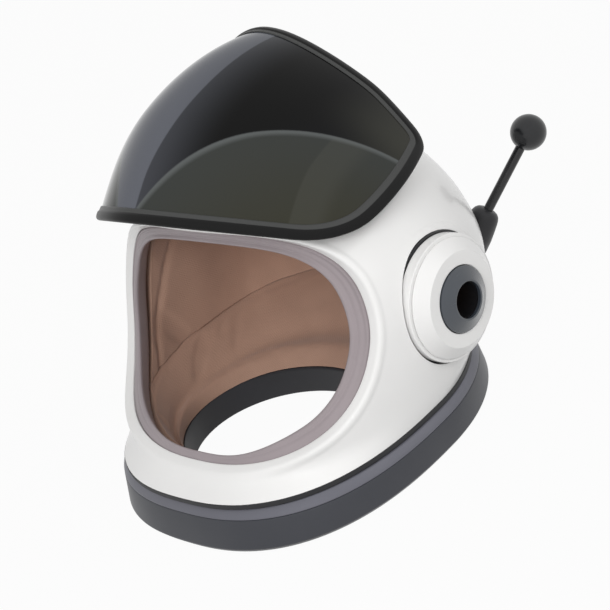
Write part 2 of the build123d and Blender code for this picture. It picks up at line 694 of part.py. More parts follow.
def head_screw(across):
    """Screw that holds the arm's head, entered from below."""
    seat = ARM_FLANGE_RADIUS
    shank = radial_peg(ARM_SCREW_ANGLE, across, ARM_SCREW_SHANK, seat, seat + ARM_SCREW_BITE)
    return shank + radial_peg(ARM_SCREW_ANGLE, across, ARM_SCREW_RADIUS, seat - ARM_SCREW_HEAD, seat)


def make_arm():
    """Bracket of I section between the carriage and the back edge of the visor."""
    side = Polyline(
        on_arc(CARRIAGE_START, CARRIAGE_TOP),
        on_arc((CARRIAGE_START + ARM_ROOT_END) / 2, CARRIAGE_TOP),
        on_arc(ARM_ROOT_END, CARRIAGE_TOP),
        on_arc(ARM_KNEE_END, ARM_KNEE_RADIUS),
        on_arc(ARM_HEAD_END, ARM_FLANGE_RADIUS),
        on_arc(ARM_HEAD_END, VISOR_RADIUS),
        on_arc(ARM_HEAD_START, VISOR_RADIUS),
        on_arc(ARM_HEAD_START, ARM_FLANGE_RADIUS),
        on_arc(ARM_FLANGE_START, ARM_FLANGE_RADIUS),
        on_arc(ARM_KNEE_START, ARM_KNEE_RADIUS),
        close=True,
    )
    face = make_face(side)
    arm = extrude(SIDE_PLANE * face, amount=ARM_HALF_WIDTH, both=True)
    hollow = make_face(Polyline(
        on_arc(CARRIAGE_START + ARM_EDGE, CARRIAGE_TOP + ARM_WALL),
        on_arc(ARM_ROOT_END - ARM_EDGE, CARRIAGE_TOP + ARM_WALL),
        on_arc(ARM_KNEE_END - ARM_EDGE, ARM_KNEE_RADIUS),
        on_arc(ARM_KNEE_START + ARM_EDGE, ARM_KNEE_RADIUS),
        close=True,
    ))
    pocket = extrude(SIDE_PLANE * hollow, amount=REACH, both=True)
    web = Box(2 * ARM_WEB_HALF_WIDTH, 2 * REACH, 2 * REACH)
    arm -= pocket - Pos(0, EAR_Y, EAR_Z) * web
    arm &= bubble(-VISOR_WALL - SEAT_GAP)
    arm -= ear_disc(CARRIAGE_TOP, -REACH, REACH)
    screws = []
    for across in (-ARM_SCREW_OFFSET, ARM_SCREW_OFFSET):
        seat = ARM_FLANGE_RADIUS
        spot = radial_peg(ARM_SCREW_ANGLE, across, ARM_SCREW_RADIUS + SEAT_GAP, seat - OVERRUN, seat)
        arm = arm - spot - head_screw(across) - root_screw(across)
        screws += [head_screw(across), root_screw(across)]
    return {"visor_arm": arm, "arm_screws": Compound(children=screws)}


def make_knob():
    """Lobed knob that clamps the carriage to the track."""
    base = CARRIAGE_TOP + SLIDE_GAP
    knob = radial_peg(KNOB_ANGLE, 0, KNOB_RADIUS, base, base + KNOB_HEIGHT)
    knob += radial_peg(KNOB_ANGLE, 0, KNOB_STEM_RADIUS, TRACK_HEAD_TOP + SLIDE_GAP, base)
    frame = radial_frame(KNOB_ANGLE, base, 0)
    for groove in PolarLocations(KNOB_RADIUS + KNOB_GROOVE_RADIUS / 2, KNOB_LOBES):
        knob -= frame * groove * up(Cylinder, KNOB_GROOVE_RADIUS, KNOB_HEIGHT)
    return {"lock_knob": knob}


def make_antenna(body):
    """Ball-tipped rod in a flared rubber boot on a fitted flange."""
    start, end = Vector(*ANTENNA_BASE), Vector(*ANTENNA_TIP)
    frame = Plane(origin=start, z_dir=end - start)
    reach = (end - start).length
    seat = Plane(origin=start, z_dir=ANTENNA_SEAT_NORMAL)
    waist = Plane(origin=start + frame.z_dir * BOOT_WAIST, z_dir=frame.z_dir + seat.z_dir * BOOT_WAIST_LEAN)
    boot = loft([
        seat.offset(-BOOT_ROOT) * Circle(BOOT_BASE_RADIUS),
        waist * Circle(BOOT_WAIST_RADIUS),
        frame.offset(BOOT_LENGTH) * Circle(BOOT_TOP_RADIUS),
    ])
    boot = fillet(boot.edges().sort_by(Axis(start, frame.z_dir))[-1], BOOT_SHOULDER)
    rod = frame.offset(BOOT_LENGTH - ROD_SOCKET_DEPTH) * up(
        Cylinder, ROD_RADIUS, reach - BALL_RADIUS + BALL_SOCKET_DEPTH - BOOT_LENGTH + ROD_SOCKET_DEPTH
    )
    ball = frame.offset(reach) * Sphere(BALL_RADIUS)
    skin = shell_body(-ANTENNA_FLANGE_DEPTH)
    flange = (seat.offset(-BOOT_ROOT - OVERRUN) * up(Cylinder, ANTENNA_FLANGE_RADIUS, 2 * BOOT_ROOT)) & skin
    return {
        "antenna_flange": flange - body,
        "antenna_boot": boot - flange - rod,
        "antenna_rod": rod,
        "antenna_ball": ball - rod,
    }


def build():
    """Every sub-part by name."""
    body, opening = shell_body(0), face_cut(0)
    holes, track = make_track(body)
    nodes = {"outer_shell": make_shell(body, opening) - holes, "face_frame": make_frame(opening)}
    nodes.update(make_liner())
    nodes["neck_pad"] = make_neck_pad()
    nodes.update(make_neck())
    for name, piece in make_ear_port().items():
        nodes.update(both_sides(piece, name))
    nodes.update(make_visor())
    nodes.update(track)
    nodes.update(make_carriage())
    nodes.update(make_arm())
    nodes.update(make_knob())
    nodes.update(make_antenna(body))
    return nodes


for name, shape in build().items():
    export_step(shape, "parts/" + name + ".step")
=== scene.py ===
import json
from functools import lru_cache

import bmesh
import bpy
import numpy as np
from mathutils import Matrix, Vector


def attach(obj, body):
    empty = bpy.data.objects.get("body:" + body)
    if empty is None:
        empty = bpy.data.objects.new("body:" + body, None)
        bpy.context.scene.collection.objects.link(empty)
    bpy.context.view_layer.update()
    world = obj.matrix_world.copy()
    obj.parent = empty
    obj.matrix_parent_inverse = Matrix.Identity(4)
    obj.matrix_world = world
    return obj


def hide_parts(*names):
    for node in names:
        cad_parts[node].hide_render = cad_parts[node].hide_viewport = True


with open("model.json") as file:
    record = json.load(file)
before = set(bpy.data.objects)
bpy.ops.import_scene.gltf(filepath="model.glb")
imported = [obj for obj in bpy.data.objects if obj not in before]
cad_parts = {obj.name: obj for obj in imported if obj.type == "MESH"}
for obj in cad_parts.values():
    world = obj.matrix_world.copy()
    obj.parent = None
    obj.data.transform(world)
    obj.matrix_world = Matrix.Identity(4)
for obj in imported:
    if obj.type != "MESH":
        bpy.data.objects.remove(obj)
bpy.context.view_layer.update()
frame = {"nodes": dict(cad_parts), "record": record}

# Lengths are written in millimetres and made metres when a mesh is built.
# +Z is up, the wearer faces -Y and the wearer's left is +X.
MM = 0.001

# Camera fitted to the helmet's outline
CAMERA_PLACE = (1003.2, -756.8, 737.5)
CAMERA_RIGHT = (0.70573, 0.62631, -0.33118)
CAMERA_UP = (-0.09783, 0.54912, 0.83000)
CAMERA_BACK = (0.70170, -0.55336, 0.44880)
CAMERA_ANGLE = 20.0

# Outer shell
EAR = np.array((0.0, 47.5, 112.0))
DOME_RADIUS = 138.0
DOME_HALF_WIDTH = 155.0
SHELL_WALL = 4.0
BROW_BULGE = 51.0
FOOT_Z = 38.8
# Half width, centre, front and back of the shell's foot
FOOT = (143.5, 10.0, -153.0, 140.0)
CAP_START_SHARE = 0.70
# Powers of the front's outline: of the neck bands, and of the shell from level to level
FRONT_SQUARENESS = 2.5
SHELL_SQUARENESS = ((38.8, 112.0, 165.0, 195.0, 208.6), (2.5, 2.45, 2.6, 2.45, 2.0))
# Foot to ear level in shares of the way: height, half width, centre, front (from above) and back
SKIRT_LEVELS = (
    (0.00, 0.00, 0.00, 1.00, 0.00),
    (0.14, 0.24, 0.21, -0.45, 0.26),
    (0.32, 0.48, 0.46, -0.60, 0.46),
    (0.62, 0.83, 0.80, -0.25, 0.79),
    (1.00, 1.00, 1.00, 0.00, 1.00),
)
# Heights above the ears in dome radii, each with its share of the brow's bulge
BROW_LEVELS = ((0.14, 0.98), (0.28, 0.84), (0.42, 0.62), (0.56, 0.25), (CAP_START_SHARE, 0.0))

# Face opening, seen from the side
OPENING_BACK_Y, OPENING_FRONT_Y = -15.5, -137.0
OPENING_SILL_Z, OPENING_BROW_Z = 51.5, 222.0
# Shares of the way forwards and upwards
OPENING_CURVE = (
    (0.36, 1.00), (0.19, 0.945), (0.055, 0.86), (0.00, 0.735), (0.035, 0.575),
    (0.15, 0.385), (0.305, 0.24), (0.50, 0.135), (0.75, 0.060), (1.00, 0.00),
)

# Directions from the helmet's middle are laid on a plane with straight down at infinity
MIDDLE = np.array((0.0, 10.0, 95.0))
FACE_MARK = complex(0.0, -0.79)
AROUND = 360
TURNS = np.linspace(0, 2 * np.pi, AROUND, endpoint=False)

# Visor
VISOR_RADIUS = 210.0
VISOR_HALF_WIDTH = 176.0
VISOR_SQUARENESS = 1.6
VISOR_SECTION_STEPS = 4
VISOR_WALL = 3.0
VISOR_FRONT_FLAT = 5.0
LENS_INSET = 3.0
BEAD_INSIDE = 2.0
# Outline in the side view: lowest corner, tip behind it, swell above the tip and crown
VISOR_CORNER = (-17.4, 203.0)
VISOR_TIP = (98.0, 219.6)
VISOR_SWELL = (104.0, 262.0)
VISOR_CROWN = (98.0, 316.0)
VISOR_FILLETS = (65.0, 14.0, 60.0)
VISOR_BROW_SLOPE = np.radians(36.0)
# Where the lens's olive cheeks, a painted reflection, begin, across the slope that parts them off, in metres
VISOR_CHEEK_REFLECTION_EDGE = 0.1072

# Crown track and arm: angles are counted from straight ahead, up and over, radii from the ear axis
TRACK_START, TRACK_END = 61.6, 140.4
TRACK_SCREW_MARGIN = 7.5
TRACK_SCREW_OFFSET = 13.5
TRACK_SCREW_SINK = 1.8
TRACK_BASE_TOP = 142.0
CARRIAGE_TOP = 153.5
ARM_FOOT_PLATE = 4.0
ARM_ROOT_SCREW, ARM_HEAD_SCREW = np.radians(127.8), np.radians(93.4)
ARM_SCREW_OFFSET, ARM_HEAD_REACH = 9.0, 201.0

# Lining
FOAM_DEPTH = 13.4
PAD_DEPTH = 20.0
CHEEK_SEAM = (10.6, 143.4)
CHEEK_SEAM_LEAN = 35.3
CHEEK_TOP_Z = 178.0
BROW_PAD_HALF_WIDTH = 45.0
LINER_FOOT_Z = 68.4
FOAM_FOOT_Z = 41.0
FOAM_BORE = 44.6
COLLAR_WIDTH = 20.0
# Growth of the face opening at the lining's edge, and the overrun that is cut off level at its foot
LINING_GROWTH = 12.9
LINING_OVERRUN = 8.0
FOAM_GAP = 0.4
CREASE_WIDTH, CREASE_DEPTH = 3.6, 1.9
EAR_BULGE, EAR_BULGE_RADIUS = 9.5, 74.0
NECK_PAD_GROWTH = 10.5
SWELL_CAP, SWELL_STEPS = 0.8, 20

# Neck
RING_SCREW_INSET = 13.0
RING_SCREWS, RING_SCREW_LEVEL = 10, 3.3
RING_HALF_WIDTH, RING_CENTRE_Y, RING_FRONT_Y, RING_BACK_Y = 149.0, 6.0, -166.0, 150.0
RING_HEIGHT = 26.6
RING_RAKE = 9.0
NECK_HALF_WIDTH, NECK_HALF_DEPTH, NECK_CENTRE_Y = 93.0, 75.0, -35.0

# Antenna
ANTENNA_BASE = np.array((79.0, 163.0, 85.0))
ANTENNA_TIP = np.array((122.0, 222.0, 157.0))
ANTENNA_SEAT_NORMAL = np.array((0.45, 0.83, -0.33))
BALL_RADIUS = 15.0
ROD_RADIUS = 4.1
FLANGE_DEPTH = 2.5

# Room
WORLD_LIGHT = 0.42
FLOOR_GREY, FLOOR_WHITENESS = 0.40, 0.96
FLOOR_REACH = 4000
LAMP_TARGET = (0, 0, 0.14)

# Beyond every part of the helmet
FAR = 400.0

scene = bpy.context.scene


# Numbers and curves

def mix(low, high, share):
    return low + (high - low) * share


def eased_step(share):
    share = np.clip(share, 0, 1)
    return share * share * (3 - 2 * share)


def unit(vector):
    vector = np.asarray(vector, float)
    return vector / np.linalg.norm(vector)


def unit_rows(vectors):
    return vectors / np.maximum(np.linalg.norm(vectors, axis=1), 1e-9)[:, None]


def bell(distance, width, height):
    """Height of a smooth bump at a distance from its middle."""
    return height * np.exp(-(distance / width) ** 2)


def circle(turn, side, other):
    """Unit vectors at each turn in the plane of two directions."""
    return np.cos(turn)[:, None] * side + np.sin(turn)[:, None] * other


def oval(turn, half_width, half_depth, centre, level):
    """Points of a level oval whose centre lies on the middle plane."""
    return np.stack((half_width * np.cos(turn), centre + half_depth * np.sin(turn), 0 * turn + level), axis=1)


def furthest(low, high, count, held, steps=26):
    """Largest value from low to high at which a rule holds, for a count of places at once."""
    low, high = np.full(count, low), np.full(count, high)
    for _ in range(steps):
        middle = (low + high) / 2
        good = held(middle)
        low, high = np.where(good, middle, low), np.where(good, high, middle)
    return low


def smooth_through(knots, values):
    """Natural cubic spline through rows of values; returns a function of position."""
    knots, values = np.asarray(knots, float), np.asarray(values, float)
    step = np.diff(knots)
    count = len(knots)
    system, right = np.eye(count), np.zeros_like(values)
    for i in range(1, count - 1):
        system[i, i - 1:i + 2] = step[i - 1], 2 * (step[i - 1] + step[i]), step[i]
        right[i] = 6 * ((values[i + 1] - values[i]) / step[i] - (values[i] - values[i - 1]) / step[i - 1])
    bend = np.linalg.solve(system, right)

    def at(place):
        i = np.clip(np.searchsorted(knots, place) - 1, 0, count - 2)
        h, a, b = step[i], knots[i + 1] - place, place - knots[i]
        h, a, b = (item[:, None] for item in (h, a, b))
        cubic = bend[i] * a ** 3 / (6 * h) + bend[i + 1] * b ** 3 / (6 * h)
        low, high = values[i] / h - bend[i] * h / 6, values[i + 1] / h - bend[i + 1] * h / 6
        return cubic + low * a + high * b

    return at


def curve_through(points, per_run=24):
    """Dense smooth line through points in the plane."""
    points = np.asarray(points, float)
    along = np.concatenate(([0], np.cumsum(np.linalg.norm(np.diff(points, axis=0), axis=1))))
    return smooth_through(along, points)(np.linspace(0, along[-1], per_run * len(points)))


def arc_points(centre, radius, start, end, steps):
    turn = np.linspace(start, end, steps + 1)
    return [(centre[0] + radius * np.cos(a), centre[1] + radius * np.sin(a)) for a in turn]


def corner_arc(before, corner, after, radius, steps, most=np.inf):
    """Arc that rounds a corner, the ways out of it, its reach along them and the shorter side."""
    corner = np.asarray(corner, float)
    a, b = before - corner, after - corner
    side = min(np.linalg.norm(a), np.linalg.norm(b))
    a, b = unit(a), unit(b)
    half = np.arccos(np.clip(a @ b, -1, 1)) / 2
    reach = min(radius / np.tan(half), side * most)
    radius = reach * np.tan(half)
    centre = corner + unit(a + b) * radius / np.sin(half)
    first, last = (np.arctan2(*(corner + way * reach - centre)[::-1]) for way in (a, b))
    turn = (last - first + np.pi) % (2 * np.pi) - np.pi
    return arc_points(centre, radius, first, first + turn, steps), (a, b), reach, side


def filleted(points, radii, steps):
    """Open line with its inner corners rounded."""
    path = [points[0]]
    for before, corner, after, radius in zip(points, points[1:], points[2:], radii):
        path += corner_arc(before, corner, after, radius, steps)[0]
    return np.array(path + [points[-1]])


def eased(points, radius):
    """Closed outline with every corner rounded and a close support point on both sides."""
    hold, steps, most, most_hold = 0.35, 4, 0.42, 0.48
    loop = []
    for i, corner in enumerate(points):
        before, after = points[i - 1], points[(i + 1) % len(points)]
        arc, ways, reach, side = corner_arc(before, corner, after, radius, steps, most)
        start, end = (tuple(corner + way * min(reach + hold, side * most_hold)) for way in ways)
        loop += [start, *arc, end]
    return loop


# Skin of the shell

class Skin:
    """The shell's outer face drawn in by a depth."""

    def __init__(self, depth):
        self.depth = depth
        rows = []
        for height, width, centre, front, back in SKIRT_LEVELS:
            rows.append((
                mix(FOOT_Z, EAR[2], height),
                mix(FOOT[0], DOME_HALF_WIDTH, width) - depth,
                mix(FOOT[1], EAR[1], centre),
                mix(EAR[1] - DOME_RADIUS - BROW_BULGE, FOOT[2], front) + depth,
                mix(FOOT[3], EAR[1] + DOME_RADIUS, back) - depth,
            ))
        for height, bulge in BROW_LEVELS:
            w, reach = self.dome(height * DOME_RADIUS)
            rows.append((
                EAR[2] + height * DOME_RADIUS, w, EAR[1], EAR[1] - reach - BROW_BULGE * bulge, EAR[1] + reach
            ))
        rows = np.array(rows)
        self.top = rows[-1, 0]
        self.table = smooth_through(rows[:, 0], rows[:, 1:])

    def dome(self, height):
        radius = DOME_RADIUS - self.depth
        scale = np.sqrt(np.maximum(1 - (height / radius) ** 2, 1e-12))
        return (DOME_HALF_WIDTH - self.depth) * scale, radius * scale

    def inside(self, place):
        z = place[:, 2]
        width, centre, front, back = self.table(np.clip(z, FOOT_Z, self.top)).T
        cap_width, cap_reach = self.dome(z - EAR[2])
        cap = z > self.top
        width = np.where(cap, cap_width, width)
        centre = np.where(cap, EAR[1], centre)
        front = np.where(cap, EAR[1] - cap_reach, front)
        back = np.where(cap, EAR[1] + cap_reach, back)
        ahead = place[:, 1] < centre
        reach = np.where(ahead, centre - front, back - centre)
        square = np.where(ahead, np.interp(z, *SHELL_SQUARENESS), 2.0)
        across, along = np.abs(place[:, 0] / width), np.abs((place[:, 1] - centre) / reach)
        return across ** square + along ** square < 1

    def along(self, rays):
        """Point of the skin on each ray from the helmet's middle."""
        reach = furthest(20.0, 360.0, len(rays), lambda far: self.inside(MIDDLE + rays * far[:, None]), 30)
        return MIDDLE + rays * reach[:, None]


@lru_cache(None)
def skin(depth):
    return Skin(depth)


def rays_at(turn, spread):
    """Directions that lie at a turn round the face opening, spread further as it grows."""
    mark = FACE_MARK + np.exp(spread) * np.exp(1j * turn)
    size = np.abs(mark) ** 2
    return np.stack((2 * mark.real, 2 * mark.imag, 1 - size), axis=1) / (1 + size)[:, None]


def spread_where(depth, held, low, high):
    """Largest spread at which a rule holds for the skin's point, for each turn."""
    return furthest(low, high, AROUND, lambda spread: held(skin(depth).along(rays_at(TURNS, spread))))


@lru_cache(None)
def opening_edge(growth):
    """Heights and back limits of the face opening, enlarged by growth."""
    points = [
        (mix(OPENING_BACK_Y, OPENING_FRONT_Y, ahead), mix(OPENING_SILL_Z, OPENING_BROW_Z, up))
        for ahead, up in OPENING_CURVE
    ]
    moved = []
    for i, (y, z) in enumerate(points):
        run = unit(np.subtract(points[min(i + 1, len(points) - 1)], points[max(i - 1, 0)]))
        moved.append((y - run[1] * growth, z + run[0] * growth))
    dense = curve_through(moved)[::-1]
    return dense[:, 1], dense[:, 0]


@lru_cache(None)
def rim_spread(growth, depth):
    heights, limits = opening_edge(growth)

    def open_here(place):
        y, z = place[:, 1], place[:, 2]
        return (z > heights[0]) & (z < heights[-1]) & (y < np.interp(z, heights, limits))

    return spread_where(depth, open_here, -4.0, 2.0)


def rim(growth, depth):
    """Ring of points at a growth of the opening and a depth below the shell's face."""
    return skin(depth).along(rays_at(TURNS, rim_spread(growth, depth)))


@lru_cache(None)
def foot_spread(depth, level=FOOT_Z):
    return spread_where(depth, lambda place: place[:, 2] > level, -3.0, 3.2)


def skin_rows(depth, growth, count, level=FOOT_Z):
    """Rings of points on the skin from the opening's rim down to a level."""
    start, end = rim_spread(growth, depth), foot_spread(depth, level)
    end = np.maximum(end, start + 0.03)
    return [skin(depth).along(rays_at(TURNS, mix(start, end, share))) for share in np.linspace(0, 1, count)]


# Meshes

def added(name, data):
    """New object of the scene."""
    item = bpy.data.objects.new(name, data)
    scene.collection.objects.link(item)
    return item


def plain_mesh(name, points, faces=()):
    """New object whose mesh is given in metres."""
    mesh = bpy.data.meshes.new(name)
    mesh.from_pydata([tuple(point) for point in points], [], faces)
    return added(name, mesh)


def mesh_piece(name, points, faces, smooth=True):
    """New object whose mesh is given in millimetres."""
    piece = plain_mesh(name, np.asarray(points) * MM, faces)
    piece.data.validate()
    face_outwards(piece)
    piece.data.shade_smooth() if smooth else piece.data.shade_flat()
    return piece


def face_outwards(piece, merge=0.0):
    work = bmesh.new()
    work.from_mesh(piece.data)
    if merge:
        bmesh.ops.remove_doubles(work, verts=work.verts, dist=merge)
    bmesh.ops.recalc_face_normals(work, faces=work.faces)
    work.to_mesh(piece.data)
    work.free()


def ring_faces(count, around, closed):
    """Faces between neighbouring rings, and between the last and the first where closed."""
    faces = []
    for i in range(count if closed else count - 1):
        for j in range(around):
            k, n = (j + 1) % around, (i + 1) % count
            faces.append((i * around + j, i * around + k, n * around + k, n * around + j))
    return faces


def looped(name, rows):
    """Closed tube-like piece: rings of equal length joined in a loop."""
    return mesh_piece(name, np.concatenate(rows), ring_faces(len(rows), len(rows[0]), True))


def capped(name, rows, first, last):
    """Closed piece from rings that run from one end point to another."""
    count, around = len(rows), len(rows[0])
    start, tail = count * around, (count - 1) * around
    faces = ring_faces(count, around, False)
    for j in range(around):
        k = (j + 1) % around
        faces += [(start, k, j), (start + 1, tail + j, tail + k)]
    return mesh_piece(name, np.concatenate([*rows, [first], [last]]), faces)


def turned(name, outline, origin, axis, around=128):
    """Piece turned on an axis from a closed outline of (distance along the axis, radius)."""
    axis = unit(axis)
    side = unit(np.cross(axis, (0.0, 0.3, 1.0)))
    ring = circle(np.linspace(0, 2 * np.pi, around, endpoint=False), side, np.cross(axis, side))
    return looped(name, [origin + axis * along + ring * radius for along, radius in outline])


def drum(name, outline, way):
    """Piece turned on the ear axis, on the left side for 1 and on the right for -1."""
    return turned(name, [(way * along, radius) for along, radius in outline], EAR, (1, 0, 0))


def box_piece(name, corners):
    """Six-sided block from its eight corners, one end after the other."""
    faces = [(0, 1, 2, 3), (4, 7, 6, 5), (0, 4, 5, 1), (1, 5, 6, 2), (2, 6, 7, 3), (3, 7, 4, 0)]
    return mesh_piece(name, corners, faces, smooth=False)


def copied(piece, name):
    return added(name, piece.data.copy())


def crisp(piece, degrees):
    """Smooth shading, with the edges above an angle kept sharp."""
    piece.data.shade_smooth()
    piece.data.set_sharp_from_angle(angle=np.radians(degrees))


def apply_modifiers(piece):
    graph = bpy.context.evaluated_depsgraph_get()
    mesh = bpy.data.meshes.new_from_object(piece.evaluated_get(graph))
    piece.modifiers.clear()
    piece.data = mesh
    mesh.name = piece.name


def carve(piece, tool, operation="DIFFERENCE"):
    """Cuts a tool from a piece, or joins it, and removes the tool."""
    modifier = piece.modifiers.new("carve", "BOOLEAN")
    modifier.object, modifier.operation, modifier.solver = tool, operation, "MANIFOLD"
    apply_modifiers(piece)
    bpy.data.objects.remove(tool)


def keep_levels(piece, low, high):
    """Keeps the part of a piece between two levels."""
    section = ((-FAR, low), (FAR, low), (FAR, high), (-FAR, high))
    corners = [(x, y, z) for x in (-FAR, FAR) for y, z in section]
    carve(piece, box_piece("levels", corners), "INTERSECT")


def grow(piece, group, inputs):
    """Makes of a start mesh what a node group grows on it; inputs are set by socket name."""
    modifier = piece.modifiers.new("grow", "NODES")
    modifier.node_group = group
    keys = {item.name: item.identifier for item in group.interface.items_tree if item.in_out == "INPUT"}
    for key, value in inputs.items():
        modifier[keys[key]] = value
    apply_modifiers(piece)


# Node trees

class Value:
    """A socket of a node tree on which arithmetic can be written out."""

    def __init__(self, tree, socket):
        self.tree, self.socket = tree, socket

    def maths(self, operation, other=0.0, swapped=False):
        first, second = (other, self) if swapped else (self, other)
        return self.tree.add("ShaderNodeMath", {"operation": operation}, {0: first, 1: second})

    def __add__(self, other):
        return self.maths("ADD", other)

    __radd__ = __add__

    def __sub__(self, other):
        return self.maths("SUBTRACT", other)

    def __rsub__(self, other):
        return self.maths("SUBTRACT", other, True)

    def __mul__(self, other):
        return self.maths("MULTIPLY", other)

    __rmul__ = __mul__

    def __pow__(self, other):
        return self.maths("POWER", other)

    def over(self, edge, width):
        """0 below the edge and 1 above it, with a soft step."""
        step = {"interpolation_type": "SMOOTHSTEP"}
        return self.tree.add("ShaderNodeMapRange", step, {0: self, 1: edge - width / 2, 2: edge + width / 2})


class Tree:
    """A node tree and the one way in which nodes are added to it."""

    def __init__(self, tree):
        self.tree = tree

    def add(self, kind, settings=None, values=None, out=0):
        node = self.tree.nodes.new(kind)
        for key, value in (settings or {}).items():
            setattr(node, key, value)
        for key, value in (values or {}).items():
            if isinstance(value, Value):
                self.tree.links.new(value.socket, node.inputs[key])
            else:
                node.inputs[key].default_value = value
        return Value(self, node.outputs[out])

    def parts(self, vector):
        node = self.add("ShaderNodeSeparateXYZ", None, {0: vector}).socket.node
        return [Value(self, socket) for socket in node.outputs]

    def shown(self):
        """1 on rays that reach the camera straight, mirrored or through a clear piece."""
        rays = ("Is Camera Ray", "Is Glossy Ray", "Is Transmission Ray")
        straight, mirrored, through = (self.add("ShaderNodeLightPath", None, None, ray) for ray in rays)
        return straight.maths("MAXIMUM", mirrored).maths("MAXIMUM", through)


def node_group(name, inputs, rule):
    """Geometry node group of named inputs: what the rule grows from them, in the finish that is given."""
    group = bpy.data.node_groups.new(name, "GeometryNodeTree")
    face = group.interface
    face.new_socket(name="Geometry", in_out="OUTPUT", socket_type="NodeSocketGeometry")
    for key, kind in {**inputs, "Finish": "Material"}.items():
        face.new_socket(name=key, in_out="INPUT", socket_type="NodeSocket" + kind)
    tree = Tree(group)
    given = group.nodes.new("NodeGroupInput")
    value = {socket.name: Value(tree, socket) for socket in given.outputs if socket.name}
    real = tree.add("GeometryNodeRealizeInstances", None, {"Geometry": rule(tree, value)})
    done = tree.add("GeometryNodeSetMaterial", None, {"Geometry": real, "Material": value["Finish"]})
    end = group.nodes.new("NodeGroupOutput")
    group.links.new(done.socket, end.inputs[0])
    return group


class Finish(Tree):
    """Material of one finish, with patterns in the object's own coordinates."""

    def __init__(self, name, **sockets):
        self.material = bpy.data.materials.new(name)
        self.material.use_nodes = True
        super().__init__(self.material.node_tree)
        self.shader = self.tree.nodes["Principled BSDF"]
        self.place = self.add("ShaderNodeTexCoord", None, None, "Object")
        for key, value in sockets.items():
            self.shader.inputs[key.replace("_", " ")].default_value = value

    def noise(self, size, detail=3.0, roughness=0.5, stretch=None):
        """Noise of a feature size in millimetres."""
        place = self.place
        if stretch:
            place = self.add("ShaderNodeMapping", None, {"Vector": place, "Scale": stretch})
        return self.add(
            "ShaderNodeTexNoise", None,
            {"Vector": place, "Scale": 1 / (size * MM), "Detail": detail, "Roughness": roughness},
        )

    def tint(self, factor, low, high):
        """Colour between two colours."""
        low, high = ((*colour, 1) if isinstance(colour, tuple) else colour for colour in (low, high))
        return self.add("ShaderNodeMix", {"data_type": "RGBA"}, {0: factor, 6: low, 7: high}, 2)

    def set(self, name, value):
        self.tree.links.new(value.socket, self.shader.inputs[name])

    def relief(self, height, depth, strength=1.0):
        """Bump of a depth in millimetres."""
        inputs = {"Height": height, "Distance": depth * MM, "Strength": strength}
        self.set("Normal", self.add("ShaderNodeBump", None, inputs))


def plastic(name, colour, shade, rough=0.35, coat=0.0, grain=0.6, depth=0.02):
    """Moulded or painted surface: faint tone changes, fine grain and varied gloss."""
    finish = Finish(name, Coat_Weight=coat, Coat_Roughness=0.08, Specular_IOR_Level=0.5)
    cloud = finish.noise(60, 4)
    fine = finish.noise(grain, 2)
    scuff = finish.noise(9, 6, 0.7, (1, 1, 4)).over(0.66, 0.08)
    finish.set("Base Color", finish.tint(cloud.over(0.5, 0.5) * 0.6 + scuff * 0.25, colour, shade))
    finish.set("Roughness", rough + (cloud - 0.5) * 0.12 + scuff * 0.12)
    finish.relief(fine, depth)
    return finish.material


def metal(name, colour, shade, rough=0.34, metallic=0.9):
    """Anodised or plain metal with a fine brushed grain."""
    finish = Finish(name)
    finish.shader.inputs["Metallic"].default_value = metallic
    brush = finish.noise(1.2, 3, 0.6, (0.15, 1, 1))
    cloud = finish.noise(40, 4)
    finish.set("Base Color", finish.tint(cloud.over(0.5, 0.6), colour, shade))
    finish.set("Roughness", rough + (brush - 0.5) * 0.2)
    finish.relief(brush, 0.03)
    return finish.material


def rubber(name, colour, shade, rough=0.55):
    """Moulded rubber: fine pits and slightly worn tone."""
    finish = Finish(name, Specular_IOR_Level=0.45)
    cloud = finish.noise(30, 5)
    pits = finish.noise(0.8, 2)
    finish.set("Base Color", finish.tint(cloud.over(0.52, 0.4), colour, shade))
    finish.set("Roughness", rough + (cloud - 0.5) * 0.25)
    finish.relief(pits, 0.06)
    return finish.material


def cloth(name, colour, shade):
    """Soft knitted lining: fine weave, pile sheen and slow changes of tone."""
    finish = Finish(name, Sheen_Weight=0.35, Sheen_Roughness=0.5, Roughness=0.85, Specular_IOR_Level=0.25)
    x, y, z = finish.parts(finish.place)
    weave = (x * 2400).maths("SINE") * (y * 2400).maths("SINE") * (z * 2400).maths("SINE")
    cloud = finish.noise(45, 4)
    fuzz = finish.noise(1.6, 4, 0.7)
    finish.set("Base Color", finish.tint(cloud.over(0.5, 0.5) * 0.7 + fuzz * 0.2, colour, shade))
    finish.relief(weave * 0.4 + fuzz, 0.16)
    return finish.material


